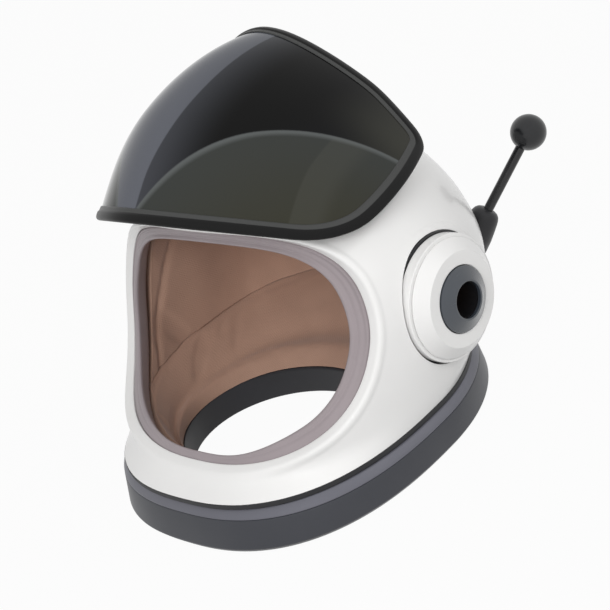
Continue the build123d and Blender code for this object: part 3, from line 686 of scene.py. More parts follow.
def visor_tint_with_painted_light():
    """Dark coated lens: near black above, olive on the cheeks below a soft curved edge. The olive cheeks are a
    painted reflection. A thin edge line, a sheen down the middle, a band and a streak are painted highlights
    and reflections.
    """
    finish = Finish("visor_tint", Roughness=0.07, Specular_IOR_Level=0.12)
    x, y, z = finish.parts(finish.place)
    across = x.maths("ABSOLUTE")
    # The olive cheeks, a painted reflection, lie behind a leaning plane on each side, with a thin painted
    # highlight line along their edge
    side = across * 0.7889 - y * 0.5887 + z * 0.1762
    zone = side.over(VISOR_CHEEK_REFLECTION_EDGE, 0.0010)
    edge = side.over(VISOR_CHEEK_REFLECTION_EDGE - 0.0003, 0.0010) * (1 - side.over(VISOR_CHEEK_REFLECTION_EDGE + 0.0020, 0.0030))
    # The dark part is blackest at the top and paler at the lower corners
    dark = finish.tint(z.over(0.262, 0.05), (0.006, 0.006, 0.007), (0.003, 0.003, 0.003))
    tip = across.over(0.105, 0.05) * y.over(0.055, 0.05)
    dark = finish.tint(tip, dark, (0.036, 0.036, 0.029))
    # A painted soft highlight down the middle and a painted highlight band whose edge bends towards the top
    band = (1 - (x - z.over(0.302, 0.050) * 0.012).over(0.0100, 0.0016)) * x.over(-0.055, 0.05)
    sheen = (1 - across.over(0.030, 0.050)) * 0.30 + band * 0.45
    # The painted highlight is mixed into the dark part
    dark = finish.tint(sheen, dark, (0.150, 0.158, 0.185))
    # The cheeks grow browner outwards, with one faint painted reflection streak
    depth = side.over(0.135, 0.06)
    olive = finish.tint(depth, (0.038, 0.041, 0.038), (0.034, 0.032, 0.019))
    painted_reflection_streak = across.over(0.1055, 0.0015) * (1 - across.over(0.1215, 0.010))
    olive = finish.tint(painted_reflection_streak * 0.3, olive, (0.070, 0.071, 0.060))
    # Painted reflection: the olive cheeks laid over the dark part
    tone = finish.tint(zone, dark, olive)
    # Painted highlight: the thin light line along the cheeks' edge
    finish.set("Base Color", finish.tint(edge * 0.6, tone, (0.13, 0.14, 0.14)))
    finish.relief(finish.noise(80, 2), 0.02, 0.3)
    return finish.material


def bead_finish_with_painted_highlight():
    """Black rubber bead whose inner welt is painted a little lighter: a painted highlight."""
    finish = Finish("bead_rubber", Specular_IOR_Level=0.22)
    welt = finish.add("ShaderNodeAttribute", {"attribute_name": "welt"}, None, "Fac")
    pits = finish.noise(0.8, 2)
    # The welt's lighter colour is a painted highlight
    finish.set("Base Color", finish.tint(welt, (0.003, 0.003, 0.003), (0.055, 0.056, 0.055)))
    finish.set("Roughness", 0.34 + finish.noise(25, 4) * 0.14)
    finish.relief(pits, 0.04)
    return finish.material


# Colour, shade and then what each rule takes besides
FINISH_RULES = {
    "shell_white": (plastic, (0.86, 0.855, 0.845), (0.82, 0.815, 0.805), 0.30, 0.35),
    "frame_grey": (plastic, (0.33, 0.285, 0.298), (0.29, 0.25, 0.262), 0.45, 0.1),
    "foam": (plastic, (0.03, 0.03, 0.034), (0.04, 0.04, 0.045), 0.8, 0.0, 1.5, 0.2),
    "lining": (cloth, (0.50, 0.315, 0.235), (0.42, 0.262, 0.195)),
    "ring_slate": (plastic, (0.036, 0.038, 0.046), (0.028, 0.030, 0.038), 0.46, 0.08),
    # The collar's slate is lighter than the ring's as a painted highlight standing in for its lit chamfer
    "collar_slate": (plastic, (0.130, 0.131, 0.155), (0.110, 0.111, 0.133), 0.46, 0.08),
    "gasket_rubber": (rubber, (0.012, 0.012, 0.014), (0.020, 0.020, 0.022)),
    "seal_rubber": (rubber, (0.016, 0.016, 0.019), (0.024, 0.024, 0.028)),
    "screw_steel": (metal, (0.42, 0.42, 0.44), (0.34, 0.34, 0.36), 0.3, 1.0),
    "nut_metal": (metal, (0.30, 0.31, 0.33), (0.24, 0.25, 0.27)),
    "port_black": (plastic, (0.006, 0.006, 0.007), (0.010, 0.010, 0.012), 0.5),
    "lock_slate": (plastic, (0.040, 0.048, 0.060), (0.032, 0.038, 0.048), 0.22, 0.6),
    "track_metal": (metal, (0.055, 0.058, 0.066), (0.040, 0.042, 0.048), 0.38, 0.6),
    "carriage_plastic": (plastic, (0.012, 0.012, 0.014), (0.018, 0.018, 0.020), 0.45),
    "glide_plastic": (plastic, (0.55, 0.55, 0.50), (0.48, 0.48, 0.44), 0.4),
    "boot_rubber": (rubber, (0.010, 0.010, 0.012), (0.016, 0.016, 0.018), 0.42),
    "rod_black": (plastic, (0.005, 0.005, 0.006), (0.008, 0.008, 0.009), 0.25, 0.15),
    "ball_black": (plastic, (0.005, 0.0055, 0.007), (0.008, 0.0085, 0.010), 0.30, 0.10),
}
FINISHES = {name: rule(name, *values) for name, (rule, *values) in FINISH_RULES.items()}
FINISHES.update(visor_tint=visor_tint_with_painted_light(), bead_rubber=bead_finish_with_painted_highlight())
SLOT_OF = {part["node"]: part["material_slot"] for part in frame["record"]["subparts"]}


def place(piece, body, *nodes):
    """Gives a finished piece its finish, its body and the solids that it stands for."""
    slot = SLOT_OF[nodes[0]]
    piece.data.materials.clear()
    piece.data.materials.append(FINISHES[slot])
    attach(piece, body)
    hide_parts(*nodes)
    return piece


for node, solid in frame["nodes"].items():
    if solid.material_slots:
        solid.material_slots[0].material = FINISHES[SLOT_OF[node]]
    else:
        solid.data.materials.append(FINISHES[SLOT_OF[node]])


# Shell and face frame

def make_shell():
    """Shell with a rolled lip round the face opening and a seated hole for each ear port."""
    # Growth of the opening and depth below the shell's face, round the lip
    lip = [
        (9.7, 8.9), (6.0, 9.0), (1.9, 9.0), (1.0, 8.85), (0.3, 8.3), (0.05, 7.4), (0.0, 6.6), (0.0, 4.0),
        (0.0, 2.2), (0.08, 1.2), (0.5, 0.2), (1.3, -0.45), (2.5, -0.75), (4.2, -0.7), (5.6, -0.35),
        (6.8, -0.08),
    ]
    rows = [rim(growth, depth) for growth, depth in lip] + skin_rows(0.0, 8.0, 64)
    for depth in (0.6, SHELL_WALL - 0.6):
        row = skin(depth).along(rays_at(TURNS, foot_spread(depth)))
        row[:, 2] = FOOT_Z
        rows.append(row)
    rows += skin_rows(SHELL_WALL, 10.1, 26)[::-1]
    rows += [rim(10.0, 4.6), rim(10.0, 8.4)]
    shell = looped("outer_shell_skin", rows)
    steps = (
        ("boss", "UNION", ((136, 44), (136, 57), (141, 57.5), (141, 44))),
        ("bore", "DIFFERENCE", eased(((142.5, 0.01), (142.5, 51.8), (175, 51.8), (175, 0.01)), 0.5)),
        ("hole", "DIFFERENCE", ((120, 0.01), (120, 44), (150, 44), (150, 0.01))),
    )
    for way in (1, -1):
        for name, operation, outline in steps:
            carve(shell, drum(name, outline, way), operation)
    crisp(shell, 38)
    return place(shell, "root", "outer_shell")


def make_frame():
    """Two-stepped ring behind the lip, slim along the sill and wide up the sides and the brow."""
    # Growth of the opening and depth below the shell's face
    wide = [
        (8.0, 9.2), (1.6, 9.2), (0.8, 9.5), (0.1, 10.2), (-0.7, 11.2), (-1.7, 12.4), (-2.4, 13.2), (-2.7, 14.0),
        (-2.8, 15.0), (-3.0, 15.5), (-3.6, 15.9), (-4.6, 16.3), (-5.2, 16.9), (-5.5, 17.8), (-5.5, 18.6),
        (-5.2, 19.6), (-4.4, 20.2), (-3.1, 20.5), (0.0, 20.6), (4.0, 20.6), (7.2, 20.5), (8.0, 19.8),
    ]
    slim = [
        (8.0, 9.2), (1.6, 9.2), (1.0, 9.4), (0.6, 9.8), (0.3, 10.3), (0.0, 10.8), (-0.2, 11.2), (-0.3, 11.6),
        (-0.35, 12.0), (-0.45, 12.3), (-0.6, 12.6), (-0.9, 12.9), (-1.1, 13.2), (-1.2, 13.7), (-1.2, 14.2),
        (-1.0, 14.9), (-0.5, 15.4), (0.3, 15.7), (2.0, 15.8), (4.0, 15.8), (7.2, 15.7), (8.0, 15.0),
    ]
    rise = np.sin(TURNS)[:, None]
    brow_share, sill_share = eased_step(rise), eased_step((-rise - 0.05) / 0.9)
    rows = []
    for (growth, depth), near in zip(wide, slim):
        brow = rim(growth * 1.5 if growth < 0 else growth - 2, depth)
        rows.append(mix(mix(rim(growth, depth), brow, brow_share), rim(*near), sill_share))
    return place(looped("face_frame_ring", rows), "root", "face_frame")


make_shell()
make_frame()


# Visor and what carries it

def inner_line(points, inset):
    """Open line moved to its left by an inset."""
    points = np.asarray(points, float)
    runs = [unit(after - before) for before, after in zip(points, points[1:])]
    lefts = [np.array((-run[1], run[0])) for run in runs]
    moved = [points[0] + lefts[0] * inset]
    for corner, one, other in zip(points[1:-1], lefts, lefts[1:]):
        moved.append(corner + np.linalg.solve(np.array((one, other)), (inset, inset)))
    return np.array(moved + [points[-1] + lefts[-1] * inset])


@lru_cache(None)
def visor_line(inset):
    """Side view of the visor's outline, drawn in by an inset."""
    slope = np.array((-np.cos(VISOR_BROW_SLOPE), np.sin(VISOR_BROW_SLOPE)))
    rise = unit(np.subtract(VISOR_CROWN, VISOR_SWELL))
    points = [VISOR_CORNER + slope * 300, VISOR_CORNER, VISOR_TIP, VISOR_SWELL, VISOR_SWELL + rise * 300]
    radii = [radius - min(inset, radius - 2) for radius in VISOR_FILLETS]
    return filleted(inner_line(points, inset), radii, 24)


def in_visor(place, inset):
    """Whether points lie inside the outline in the side view."""
    line = visor_line(inset)
    starts, runs = line[:-1], np.diff(line, axis=0)
    offset = place[:, None, 1:] - starts[None]
    return (runs[None, :, 0] * offset[..., 1] - runs[None, :, 1] * offset[..., 0] > 0).all(axis=1)


VISOR_POLE = unit((0.0, -np.cos(np.radians(84)), np.sin(np.radians(84))))
VISOR_SIDE = np.array((1.0, 0.0, 0.0))
VISOR_AHEAD = np.cross(VISOR_POLE, VISOR_SIDE)


def bubble_at(turn, spread, height):
    """Points of the visor's bubble, raised by a height, at a spread from its pole."""
    ray = circle(spread, VISOR_POLE, circle(turn, VISOR_SIDE, VISOR_AHEAD))
    lean, reach = visor_section(height)
    upright, rise = np.hypot(ray[:, 1], ray[:, 2]), np.degrees(np.arctan2(ray[:, 2], -ray[:, 1]))
    # Flatter in front: not at all above 74 degrees of rise, and in full below 50
    flat = VISOR_FRONT_FLAT * upright * eased_step((74 - rise) / 24)
    return EAR + ray * (np.interp(np.arctan2(ray[:, 0], upright), lean, reach) - flat)[:, None]


@lru_cache(None)
def visor_section(height):
    """Section of the bubble through the ear axis: reach from its middle at each lean to the side."""
    turn = np.radians(np.linspace(-90, 90, 2 * VISOR_SECTION_STEPS + 1))
    power = 2 / VISOR_SQUARENESS
    across = np.sign(turn) * np.abs(np.sin(turn)) ** power * (VISOR_HALF_WIDTH + height)
    radius = np.abs(np.cos(turn)) ** power * (VISOR_RADIUS + height)
    line = curve_through(np.stack((across, radius), axis=1), 60)
    return np.arctan2(line[:, 0], line[:, 1]), np.linalg.norm(line, axis=1)


@lru_cache(None)
def visor_spread(inset, height):
    """Spread at which the bubble meets the outline, for each turn."""
    return furthest(0.0, 1.7, AROUND, lambda spread: in_visor(bubble_at(TURNS, spread, height), inset))


def visor_ring(inset, height):
    return bubble_at(TURNS, visor_spread(inset, height), height)


def make_visor():
    """Lens and the rubber bead round its edge."""
    edge = visor_spread(LENS_INSET, 0.0)
    shares = np.linspace(0, 1, 60)[1:]
    outer = [bubble_at(TURNS, edge * share, 0.0) for share in shares]
    under = visor_spread(LENS_INSET, -VISOR_WALL)
    inner = [bubble_at(TURNS, under * share, -VISOR_WALL) for share in shares[::-2]]
    top, bottom = (bubble_at(np.zeros(1), np.zeros(1), height)[0] for height in (0.0, -VISOR_WALL))
    lens = capped("visor_lens_bubble", outer + inner, top, bottom)
    place(lens, "visor", "visor_lens")
    inside = -VISOR_WALL - BEAD_INSIDE
    # Inset from the outline and height above the bubble
    outline = [
        (7.8, -0.2), (7.8, 0.4), (7.5, 0.9), (6.8, 1.15), (5.4, 1.25), (4.6, 1.3), (4.1, 1.6), (3.5, 2.2),
        (2.6, 2.5), (1.0, 2.6), (-1.0, 2.4), (-2.3, 1.8), (-3.2, 0.6), (-3.7, -1.0), (-3.7, -2.8), (-3.1, -4.2),
        (-1.8, inside), (5.4, inside), (7.0, -4.6), (7.6, -3.8), (7.8, -3.0),
    ]
    bead = looped("visor_bead_rim", [visor_ring(*spot) for spot in outline])
    # Marks the inner welt's points for a painted highlight
    welt = bead.data.attributes.new("welt", "FLOAT", "POINT")
    marks = np.repeat([1.0 if 0.3 < h < 1.32 and i > 4.3 else 0.0 for i, h in outline], AROUND)
    welt.data.foreach_set("value", marks)
    place(bead, "visor", "visor_bead")


make_visor()


# Neck bands, by one rule

def band_rule(tree, value):
    """Carries a profile round an egg outline, or round the neck hole's ellipse."""
    rows = tree.add("GeometryNodeAttributeDomainSize", {"component": "MESH"}, {0: value["Profile"]})
    grid = tree.add(
        "GeometryNodeMeshGrid", None,
        {"Size X": 1.0, "Size Y": 1.0, "Vertices X": value["Around"] + 1, "Vertices Y": rows + 1},
    )
    x, y, _ = tree.parts(tree.add("GeometryNodeInputPosition"))
    row = ((y + 0.5) * rows).maths("ROUND").maths("MODULO", rows)
    spot = tree.add("GeometryNodeInputPosition")
    picked = tree.add(
        "GeometryNodeSampleIndex", {"data_type": "FLOAT_VECTOR", "domain": "POINT"},
        {"Geometry": value["Profile"], "Value": spot, "Index": row},
    )
    depth, height, inner = tree.parts(picked)
    angle = (x + 0.5) * (2 * np.pi)
    cosine, sine = angle.maths("COSINE"), angle.maths("SINE")
    behind = sine.maths("GREATER_THAN", 0.0)
    back = value["Back"] - height * value["Rake"] * 0.5 - depth - value["Centre"]
    front = value["Centre"] - value["Front"] - height * value["Rake"] - depth
    power = behind + (1 - behind) * (2 / FRONT_SQUARENESS)
    across = cosine.maths("ABSOLUTE") ** power * cosine.maths("SIGN")
    along = sine.maths("ABSOLUTE") ** power * sine.maths("SIGN")
    egg_x = (value["Half Width"] - depth) * across
    egg_y = value["Centre"] + along * (behind * back + (1 - behind) * front)
    hole_x = (value["Neck Half Width"] + depth) * cosine
    hole_y = value["Neck Centre"] + (value["Neck Half Depth"] + depth) * sine
    outer = 1 - inner
    moved = tree.add(
        "ShaderNodeCombineXYZ", None,
        {"X": egg_x * outer + hole_x * inner, "Y": egg_y * outer + hole_y * inner, "Z": height},
    )
    placed = tree.add("GeometryNodeSetPosition", None, {"Geometry": grid, "Position": moved})
    merged = tree.add("GeometryNodeMergeByDistance", None, {"Geometry": placed, "Distance": 1e-5})
    return tree.add("GeometryNodeSetShadeSmooth", None, {"Geometry": merged})


EGG_INPUTS = ("Half Width", "Centre", "Front", "Back", "Rake")
NECK_INPUTS = {
    "Neck Half Width": NECK_HALF_WIDTH * MM, "Neck Half Depth": NECK_HALF_DEPTH * MM,
    "Neck Centre": NECK_CENTRE_Y * MM,
}
BAND = node_group(
    "neck band",
    {"Profile": "Geometry", **dict.fromkeys((*EGG_INPUTS, *NECK_INPUTS), "Float"), "Around": "Int"},
    band_rule,
)


def band(name, outline, egg, node):
    """Neck band from a closed outline of (depth, height, 1 for the neck hole)."""
    piece = plain_mesh(name, np.array(outline) * (MM, MM, 1))
    inputs = {key: size * (1 if key == "Rake" else MM) for key, size in zip(EGG_INPUTS, egg)}
    grow(piece, BAND, {**inputs, **NECK_INPUTS, "Around": 288, "Finish": FINISHES[SLOT_OF[node]]})
    face_outwards(piece, 1e-6)
    return place(piece, "root", node)


def with_hole(outer, inner):
    """Closed outline whose first points lie on the egg and whose last lie on the neck hole's ellipse."""
    return [(*p, 0.0) for p in outer] + [(*p, 1.0) for p in inner]


RING_EGG = (RING_HALF_WIDTH, RING_CENTRE_Y, RING_FRONT_Y, RING_BACK_Y, RING_RAKE / RING_HEIGHT)
FOOT_EGG = (*FOOT, 0.0)
# Depth inwards from the egg, or outwards from the neck hole, and height
ring_outer = [
    (12.0, 0.0), (4.6, 0.0), (3.9, 0.15), (0.5, 3.5), (0.08, 4.2), (0.0, 5.0), (0.0, 14.0), (0.0, 25.3),
    (0.15, 26.1), (0.7, 26.6), (6.3, 26.6), (7.0, 26.0), (7.0, 14.0), (7.0, 6.6), (8.0, 6.0), (14.0, 6.0),
]
ring_inner = [
    (16.0, 6.0), (12.6, 6.0), (12.0, 6.6), (12.0, 26.0), (11.4, 26.6), (7.6, 26.6), (7.0, 26.0), (7.0, 0.6),
    (7.6, 0.0), (14.0, 0.0),
]
band("neck_ring_band", with_hole(ring_outer, ring_inner), RING_EGG, "neck_ring")
collar = [
    (2.0, 26.7), (0.6, 26.7), (0.05, 27.1), (0.1, 27.8), (1.6, 30.6), (3.4, 33.4), (4.0, 33.9), (4.8, 34.0),
    (9.0, 34.0), (19.0, 34.0), (19.6, 33.4), (19.6, 27.3), (19.0, 26.7),
]
band("neck_collar_band", with_hole(collar, []), RING_EGG, "neck_collar")
gasket = eased(((-0.6, 34.05), (-0.6, 38.6), (10.0, 38.6), (10.0, 34.05)), 0.8)
band("shell_gasket_band", with_hole(gasket, []), FOOT_EGG, "shell_gasket")
seal = eased(((0.0, 1.0), (0.0, 26.4), (6.9, 26.4), (6.9, 1.0)), 1.6)
band("neck_seal_band", with_hole([], seal), FOOT_EGG, "neck_seal")


# Ear ports

def make_ports():
    """Turned pieces of both ear ports, with their small edge roundings."""
    # Rounding of the edges, then distance from the middle plane and radius at every corner
    outlines = {
        "port_collar": (0.9, (
            (131, 37.7), (131, 43.7), (146.1, 43.7), (146.1, 50), (155.5, 50), (155.5, 30), (146, 30),
            (146, 37.7),
        )),
        "port_cap": (0.8, (
            (155.7, 39.4), (155.7, 48.4), (165.7, 37.6), (165.7, 26.4), (159.7, 26.4), (159.7, 39.4),
        )),
        "lock_ring": (0.7, (
            (160, 19.1), (160, 26), (167, 26), (172, 15.8), (172, 14.3), (168.5, 14.3), (168.5, 19.1),
        )),
        "port_gasket": (0.6, ((142.6, 44.3), (142.6, 51.4), (145.9, 51.4), (145.9, 44.3))),
    }
    for side, way in (("left", 1), ("right", -1)):
        for name, (rounding, corners) in outlines.items():
            node = side + "_" + name
            piece = turned(node + "_turned", eased(corners, rounding), EAR, (way, 0, 0), 160)
            place(piece, side + "_lock" if name == "lock_ring" else "root", node)


make_ports()


# Antenna

def make_antenna():
    """Rubber boot that grows out of the shell, plain rod and ball."""
    axis, seat = unit(ANTENNA_TIP - ANTENNA_BASE), unit(ANTENNA_SEAT_NORMAL)
    turn = np.linspace(0, 2 * np.pi, 96, endpoint=False)
    # Distance along the rod, lean towards the shell's face and radius
    steps = [
        (-5.0, 1.0, 23.5), (-3.0, 1.0, 21.5), (0.0, 0.85, 19.2), (5.0, 0.5, 16.6), (10.0, 0.25, 14.9),
        (16.0, 0.1, 13.6), (22.0, 0.0, 12.5), (25.0, 0.0, 11.8), (27.4, 0.0, 10.7), (29.2, 0.0, 8.9),
        (30.2, 0.0, 6.6), (30.5, 0.0, 4.7),
    ]
    rows = []
    for along, lean, radius in steps:
        normal = unit(mix(axis, seat, lean))
        side = unit(np.cross(normal, (1.0, -0.4, 0.1)))
        centre = ANTENNA_BASE + (axis if along > 0 else seat) * along
        rows.append(centre + circle(turn, side, np.cross(normal, side)) * radius)
    for row in rows[:2]:
        row[:] = skin(-FLANGE_DEPTH).along(unit_rows(row - MIDDLE))
    boot = capped("antenna_boot_moulding", rows, rows[0].mean(0), rows[-1].mean(0))
    place(boot, "root", "antenna_boot")
    reach = np.linalg.norm(ANTENNA_TIP - ANTENNA_BASE)
    rod = eased(((10.5, 0.01), (10.5, ROD_RADIUS), (reach - 6.2, ROD_RADIUS), (reach - 6.2, 0.01)), 0.5)
    place(turned("antenna_rod_bar", rod, ANTENNA_BASE, axis, 64), "root", "antenna_rod")
    # The rod's socket from its end outwards, then the ball from the rod's side to its far end
    start = np.arccos((BALL_RADIUS - 0.9) / BALL_RADIUS)
    angles = np.linspace(np.pi - start * 0.93, 0.001, 48)
    ball = [(reach + BALL_RADIUS * np.cos(a), BALL_RADIUS * np.sin(a)) for a in angles]
    bore = ROD_RADIUS + 0.05
    socket = [
        (reach - 6.0, 0.01), (reach - 6.0, bore), (reach - 13.0, bore), (reach - 13.6, ROD_RADIUS + 0.5),
    ]
    place(turned("antenna_ball_tip", socket + ball, ANTENNA_BASE, axis, 96), "root", "antenna_ball")


make_antenna()


# Soft lining

def swell(pad):
    """Short cloth run with pressure inside the pad; no point moves further than a cap."""
    before = np.zeros(len(pad.data.vertices) * 3)
    pad.data.vertices.foreach_get("co", before)
    run = pad.modifiers.new("swell", "CLOTH")
    settings = run.settings
    settings.use_pressure = True
    settings.uniform_pressure_force = 4.0
    settings.effector_weights.gravity = 0.0
    settings.tension_stiffness = settings.compression_stiffness = 20
    settings.bending_stiffness = 2.0
    for step in range(1, SWELL_STEPS + 1):
        scene.frame_set(step)
    graph = bpy.context.evaluated_depsgraph_get()
    after = np.zeros_like(before)
    pad.evaluated_get(graph).data.vertices.foreach_get("co", after)
    pad.modifiers.clear()
    scene.frame_set(1)
    moved = (after - before).reshape(-1, 3)
    length = np.linalg.norm(moved, axis=1, keepdims=True)
    moved *= np.minimum(1, SWELL_CAP * MM / np.maximum(length, 1e-9))
    pad.data.vertices.foreach_set("co", (before.reshape(-1, 3) + moved).ravel())
    pad.data.update()


def seam_distance(place):
    """Distance behind the leaning seam between cheek pads and liner; negative in front of it."""
    lean = np.radians(CHEEK_SEAM_LEAN)
    offset = place[:, 1:] - CHEEK_SEAM
    return offset[:, 0] * np.cos(lean) - offset[:, 1] * np.sin(lean)


def padded_skin(rows):
    """Inner rows of the liner with its sewn creases pressed in and the ear pads swelled out."""
    shaped = []
    for row in rows:
        inward = unit_rows(MIDDLE + (0, 20, 25) - row)
        beside_brow = np.abs(row[:, 0]) > BROW_PAD_HALF_WIDTH
        seam = bell(seam_distance(row), CREASE_WIDTH, CREASE_DEPTH) * beside_brow
        ear = np.hypot(row[:, 1] - EAR[1], row[:, 2] - EAR[2])
        bulge = EAR_BULGE * np.clip(1 - (ear / EAR_BULGE_RADIUS) ** 2, 0, 1) ** 2
        shaped.append(row + inward * (bulge - seam)[:, None])
    return shaped


def make_foam():
    """Hard foam between the shell and the soft liner, bored for the ear ports."""
    inner, outer = (
        skin_rows(depth, LINING_GROWTH, 40, FOAM_FOOT_Z - LINING_OVERRUN)
        for depth in (FOAM_DEPTH - FOAM_GAP, SHELL_WALL + FOAM_GAP)
    )
    foam = looped("foam_liner_shell", inner + outer[::-1])
    keep_levels(foam, FOAM_FOOT_Z, FAR)
    for way in (1, -1):
        bore = ((100, 0.01), (100, FOAM_BORE), (160, FOAM_BORE), (160, 0.01))
        carve(foam, drum("foam_bore", bore, way))
    crisp(foam, 38)
    return place(foam, "root", "foam_liner")


def make_liner():
    """Soft liner and cheek pads: one swelled ring, then parted at the sewn seams."""
    inner, outer = (
        skin_rows(depth, LINING_GROWTH, count, LINER_FOOT_Z - LINING_OVERRUN)
        for depth, count in ((PAD_DEPTH, 60), (FOAM_DEPTH, 18))
    )
    rows = [rim(12.5, 15.0), rim(12.3, 17.0), rim(12.5, 19.0)] + padded_skin(inner)
    rows += [mix(inner[-1], outer[-1], share) for share in (0.35, 0.7)] + outer[::-1]
    ring = looped("liner_ring", rows)
    swell(ring)
    keep_levels(ring, LINER_FOOT_Z - 0.2, FAR)
    lean = np.radians(CHEEK_SEAM_LEAN)
    ahead, up = np.array((-np.cos(lean), np.sin(lean))), np.array((np.sin(lean), np.cos(lean)))
    for side, way in (("left", 1), ("right", -1)):
        # Everything in front of the leaning seam, beside the brow pad
        corners = []
        for x in (BROW_PAD_HALF_WIDTH, 260):
            for along, rise in ((0, -FAR), (FAR, -FAR), (FAR, FAR), (0, FAR)):
                corners.append((way * x, *(np.array(CHEEK_SEAM) + ahead * along + up * rise)))
        zone = box_piece("cheek_zone", corners)
        keep_levels(zone, -300, CHEEK_TOP_Z)
        pad = copied(ring, side + "_cheek_padding")
        carve(pad, copied(zone, "cheek_tool"), "INTERSECT")
        carve(ring, zone)
        finish_pad(pad, side + "_cheek_pad")
    ring.name = ring.data.name = "soft_liner_padding"
    finish_pad(ring, "soft_liner", "left_ear_cushion", "right_ear_cushion")


def finish_pad(pad, *nodes):
    crisp(pad, 50)
    return place(pad, "root", *nodes)


def level_ring(depth, level, turn):
    """Points of a level of the skin, straight out from the neck hole's centre."""
    run = unit_rows(oval(turn, NECK_HALF_WIDTH, NECK_HALF_DEPTH, 0.0, 0.0))
    start = np.array((0, NECK_CENTRE_Y, level))
    reach = furthest(0.0, FAR, len(turn), lambda far: skin(depth).inside(start + run * far[:, None]), 30)
    return start + run * reach[:, None]


def clear_share(start, end):
    """Share of the way from start to end that stays out of the enlarged face opening."""
    heights, limits = opening_edge(NECK_PAD_GROWTH)

    def clear(share):
        y, z = mix(start, end, share[:, None])[:, 1:].T
        return (z <= heights[0]) | (y >= np.interp(z, heights, limits))

    return furthest(0.0, 1.0, len(start), clear, 20)[:, None]


def make_neck_padding():
    """Thick pad whose inside falls from the liner to a soft rolled ridge at the neck hole."""
    turn = np.linspace(0, 2 * np.pi, 264, endpoint=False)
    hole = oval(turn, NECK_HALF_WIDTH, NECK_HALF_DEPTH, NECK_CENTRE_Y, 27.2)
    top = level_ring(PAD_DEPTH, LINER_FOOT_Z, turn)
    top = mix(hole, top, clear_share(hole, top))
    foot, head = (level_ring(FOAM_DEPTH, level, turn) for level in (39.5, LINER_FOOT_Z))
    wall_share = clear_share(foot, head)
    wall = [mix(foot, head, wall_share * share) for share in np.linspace(1, 0, 8)]
    out = unit_rows((top - hole) * (1, 1, 0))
    rows = []
    for share in np.linspace(0, 1, 30):
        # The rolled ridge, the hollow behind it and the rounding at the hole
        lift = bell(share - 0.17, 0.09, 3.6) - bell(share - 0.36, 0.12, 2.6) - bell(share, 0.04, 1.6)
        rows.append(mix(hole, top, share) + (0, 0, lift) - out * 0.35 * lift)
    rows += [mix(top, wall[0], share) + (0, 0, -0.2) for share in (0.25, 0.6)] + wall
    rows += [level_ring(COLLAR_WIDTH, level, turn) for level in (38.6, 33.0, 27.4)]
    rows += [mix(rows[-1], hole, share) for share in (0.3, 0.65, 0.95)]
    pad = looped("neck_padding", rows)
    swell(pad)
    finer = pad.modifiers.new("finer", "SUBSURF")
    finer.levels = finer.render_levels = 1
    apply_modifiers(pad)
    finish_pad(pad, "neck_pad")


make_foam()
make_liner()
make_neck_padding()


# Screws, set by one rule

def screw_rule(tree, value):
    """Sets one screw head at every start point, with its face towards that point's aim."""
    head = tree.add("GeometryNodeObjectInfo", None, {"Object": value["Head"]}, "Geometry")
    aim = tree.add("GeometryNodeInputNamedAttribute", {"data_type": "FLOAT_VECTOR"}, {"Name": "aim"})
    turn = tree.add("FunctionNodeAlignRotationToVector", {"axis": "Z"}, {"Vector": aim})
    points = tree.add("GeometryNodeMeshToPoints", None, {0: value["Places"]})
    inputs = {"Points": points, "Instance": head, "Rotation": turn}
    return tree.add("GeometryNodeInstanceOnPoints", None, inputs)


SCREWS = node_group("screw set", {"Places": "Geometry", "Head": "Object"}, screw_rule)


def screw_head(radius, height, shank_radius, shank):
    """Screw with a rounded head, a six-sided socket and a plain shank, standing on its seat."""
    turn = np.linspace(0, 2 * np.pi, 40, endpoint=False) + 0.01
    socket = 0.52 * radius / np.cos((turn % (np.pi / 3)) - np.pi / 6) * np.cos(np.pi / 6)
    steps = [
        (shank_radius, -shank), (shank_radius, -0.02), (radius * 0.96, 0.0), (radius, 0.12 * height),
        (radius, 0.72 * height), (radius * 0.93, 0.93 * height), (radius * 0.84, height),
        (socket + 0.06 * radius, height), (socket, 0.93 * height), (socket, 0.42 * height),
    ]
    rows = [oval(turn, size, size, 0.0, level) for size, level in steps]
    return capped("screw_head", rows, (0, 0, -shank), (0, 0, 0.36 * height))


def screw_set(name, places, aims, head, body, node):
    """Screws of one size on one body."""
    piece = plain_mesh(name, np.array(places) * MM)
    aim = piece.data.attributes.new("aim", "FLOAT_VECTOR", "POINT")
    aim.data.foreach_set("vector", np.asarray(aims, float).ravel())
    grow(piece, SCREWS, {"Head": head, "Finish": FINISHES[SLOT_OF[node]]})
    bpy.data.objects.remove(head)
    crisp(piece, 35)
    return place(piece, body, node)


def crown_screws(name, spots, offset, head, body, node):
    """Pairs of screws beside the middle plane, from (angle, reach from the ear axis, way they face)."""
    places, aims = [], []
    for angle, reach, way in spots:
        outward = np.array((0, -np.cos(angle), np.sin(angle)))
        for across in (-offset, offset):
            places.append(EAR + outward * reach + (across, 0, 0))
            aims.append(outward * way)
    screw_set(name, places, aims, head, body, node)


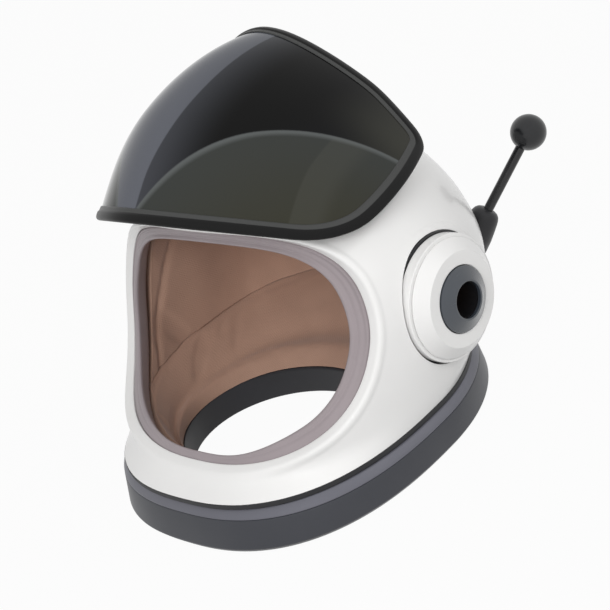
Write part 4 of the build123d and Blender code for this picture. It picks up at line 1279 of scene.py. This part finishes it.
def make_screws():
    """Screws of the neck ring, of the crown track and of the visor's arm."""
    turn = np.radians(360 * (np.arange(RING_SCREWS) + 0.5) / RING_SCREWS)
    half_width = RING_HALF_WIDTH - RING_SCREW_INSET
    ahead = -RING_FRONT_Y - RING_RAKE - RING_SCREW_INSET + RING_CENTRE_Y
    behind = RING_BACK_Y - RING_SCREW_INSET - RING_CENTRE_Y
    depth = np.where(np.sin(turn) > 0, behind, ahead)
    places = oval(turn, half_width, depth, RING_CENTRE_Y, RING_SCREW_LEVEL)
    head = screw_head(4.0, 3.0, 2.2, 27.9)
    screw_set("neck_ring_screw_set", places, [(0, 0, -1)] * RING_SCREWS, head, "root", "neck_ring_screws")
    angles = np.radians(np.linspace(TRACK_START + TRACK_SCREW_MARGIN, TRACK_END - TRACK_SCREW_MARGIN, 5))
    head = screw_head(2.6, 1.8, 1.4, 6.0)
    spots = [(angle, TRACK_BASE_TOP - TRACK_SCREW_SINK, 1) for angle in angles]
    crown_screws("track_screw_set", spots, TRACK_SCREW_OFFSET, head, "root", "track_screws")
    spots = ((ARM_ROOT_SCREW, CARRIAGE_TOP + ARM_FOOT_PLATE, 1), (ARM_HEAD_SCREW, ARM_HEAD_REACH, -1))
    head = screw_head(3.2, 2.2, 1.6, 6.0)
    crown_screws("arm_screw_set", spots, ARM_SCREW_OFFSET, head, "visor", "arm_screws")


make_screws()


# Room, light and camera

def make_room():
    """Floor that is plain to the light and nearly white to the eye, under an even white sky."""
    corners = [(FLOOR_REACH * x, FLOOR_REACH * y, 0) for x, y in ((-1, -1), (1, -1), (1, 1), (-1, 1))]
    floor = mesh_piece("floor", corners, [(0, 1, 2, 3)])
    material = bpy.data.materials.new("pale_floor")
    material.use_nodes = True
    tree = Tree(material.node_tree)
    tree.tree.nodes.remove(tree.tree.nodes["Principled BSDF"])
    plain = tree.add("ShaderNodeBsdfDiffuse", None, {"Color": (FLOOR_GREY, FLOOR_GREY, FLOOR_GREY, 1)})
    white = tree.add("ShaderNodeEmission", None, {"Color": (1, 1, 1, 1), "Strength": 1.0})
    blend = tree.add("ShaderNodeMixShader", None, {0: tree.shown() * FLOOR_WHITENESS, 1: plain, 2: white})
    tree.tree.links.new(blend.socket, tree.tree.nodes["Material Output"].inputs[0])
    floor.data.materials.append(material)
    floor.location.z = -0.0005
    world = bpy.data.worlds.new("studio") if scene.world is None else scene.world
    scene.world = world
    world.use_nodes = True
    background = world.node_tree.nodes["Background"]
    strength = Tree(world.node_tree).shown() * (1 - WORLD_LIGHT) + WORLD_LIGHT
    world.node_tree.links.new(strength.socket, background.inputs["Strength"])
    background.inputs["Color"].default_value = (1, 1, 1, 1)


def lamp(name, spot, size, power):
    """Round lamp that is aimed at the helmet and leaves no glint."""
    light = bpy.data.lights.new(name, "AREA")
    light.shape, light.size, light.energy = "DISK", size, power
    item = added(name, light)
    item.visible_glossy = False
    start, end = Vector(spot), Vector(LAMP_TARGET)
    turn = (end - start).to_track_quat("-Z", "Y").to_matrix().to_4x4()
    item.matrix_world = Matrix.Translation(start) @ turn


make_room()
lamp("key", (0.9, -1.6, 1.1), 1.2, 24)
lamp("fill", (1.8, 0.6, 1.3), 1.6, 14)

camera = bpy.data.cameras.new("camera")
camera.sensor_width = 36
camera.lens = 18 / np.tan(np.radians(CAMERA_ANGLE / 2))
camera_object = added("camera", camera)
turn = Matrix((CAMERA_RIGHT, CAMERA_UP, CAMERA_BACK)).transposed().to_4x4()
camera_object.matrix_world = Matrix.Translation(Vector(CAMERA_PLACE) * MM) @ turn
scene.camera = camera_object
scene.view_settings.view_transform = "Standard"
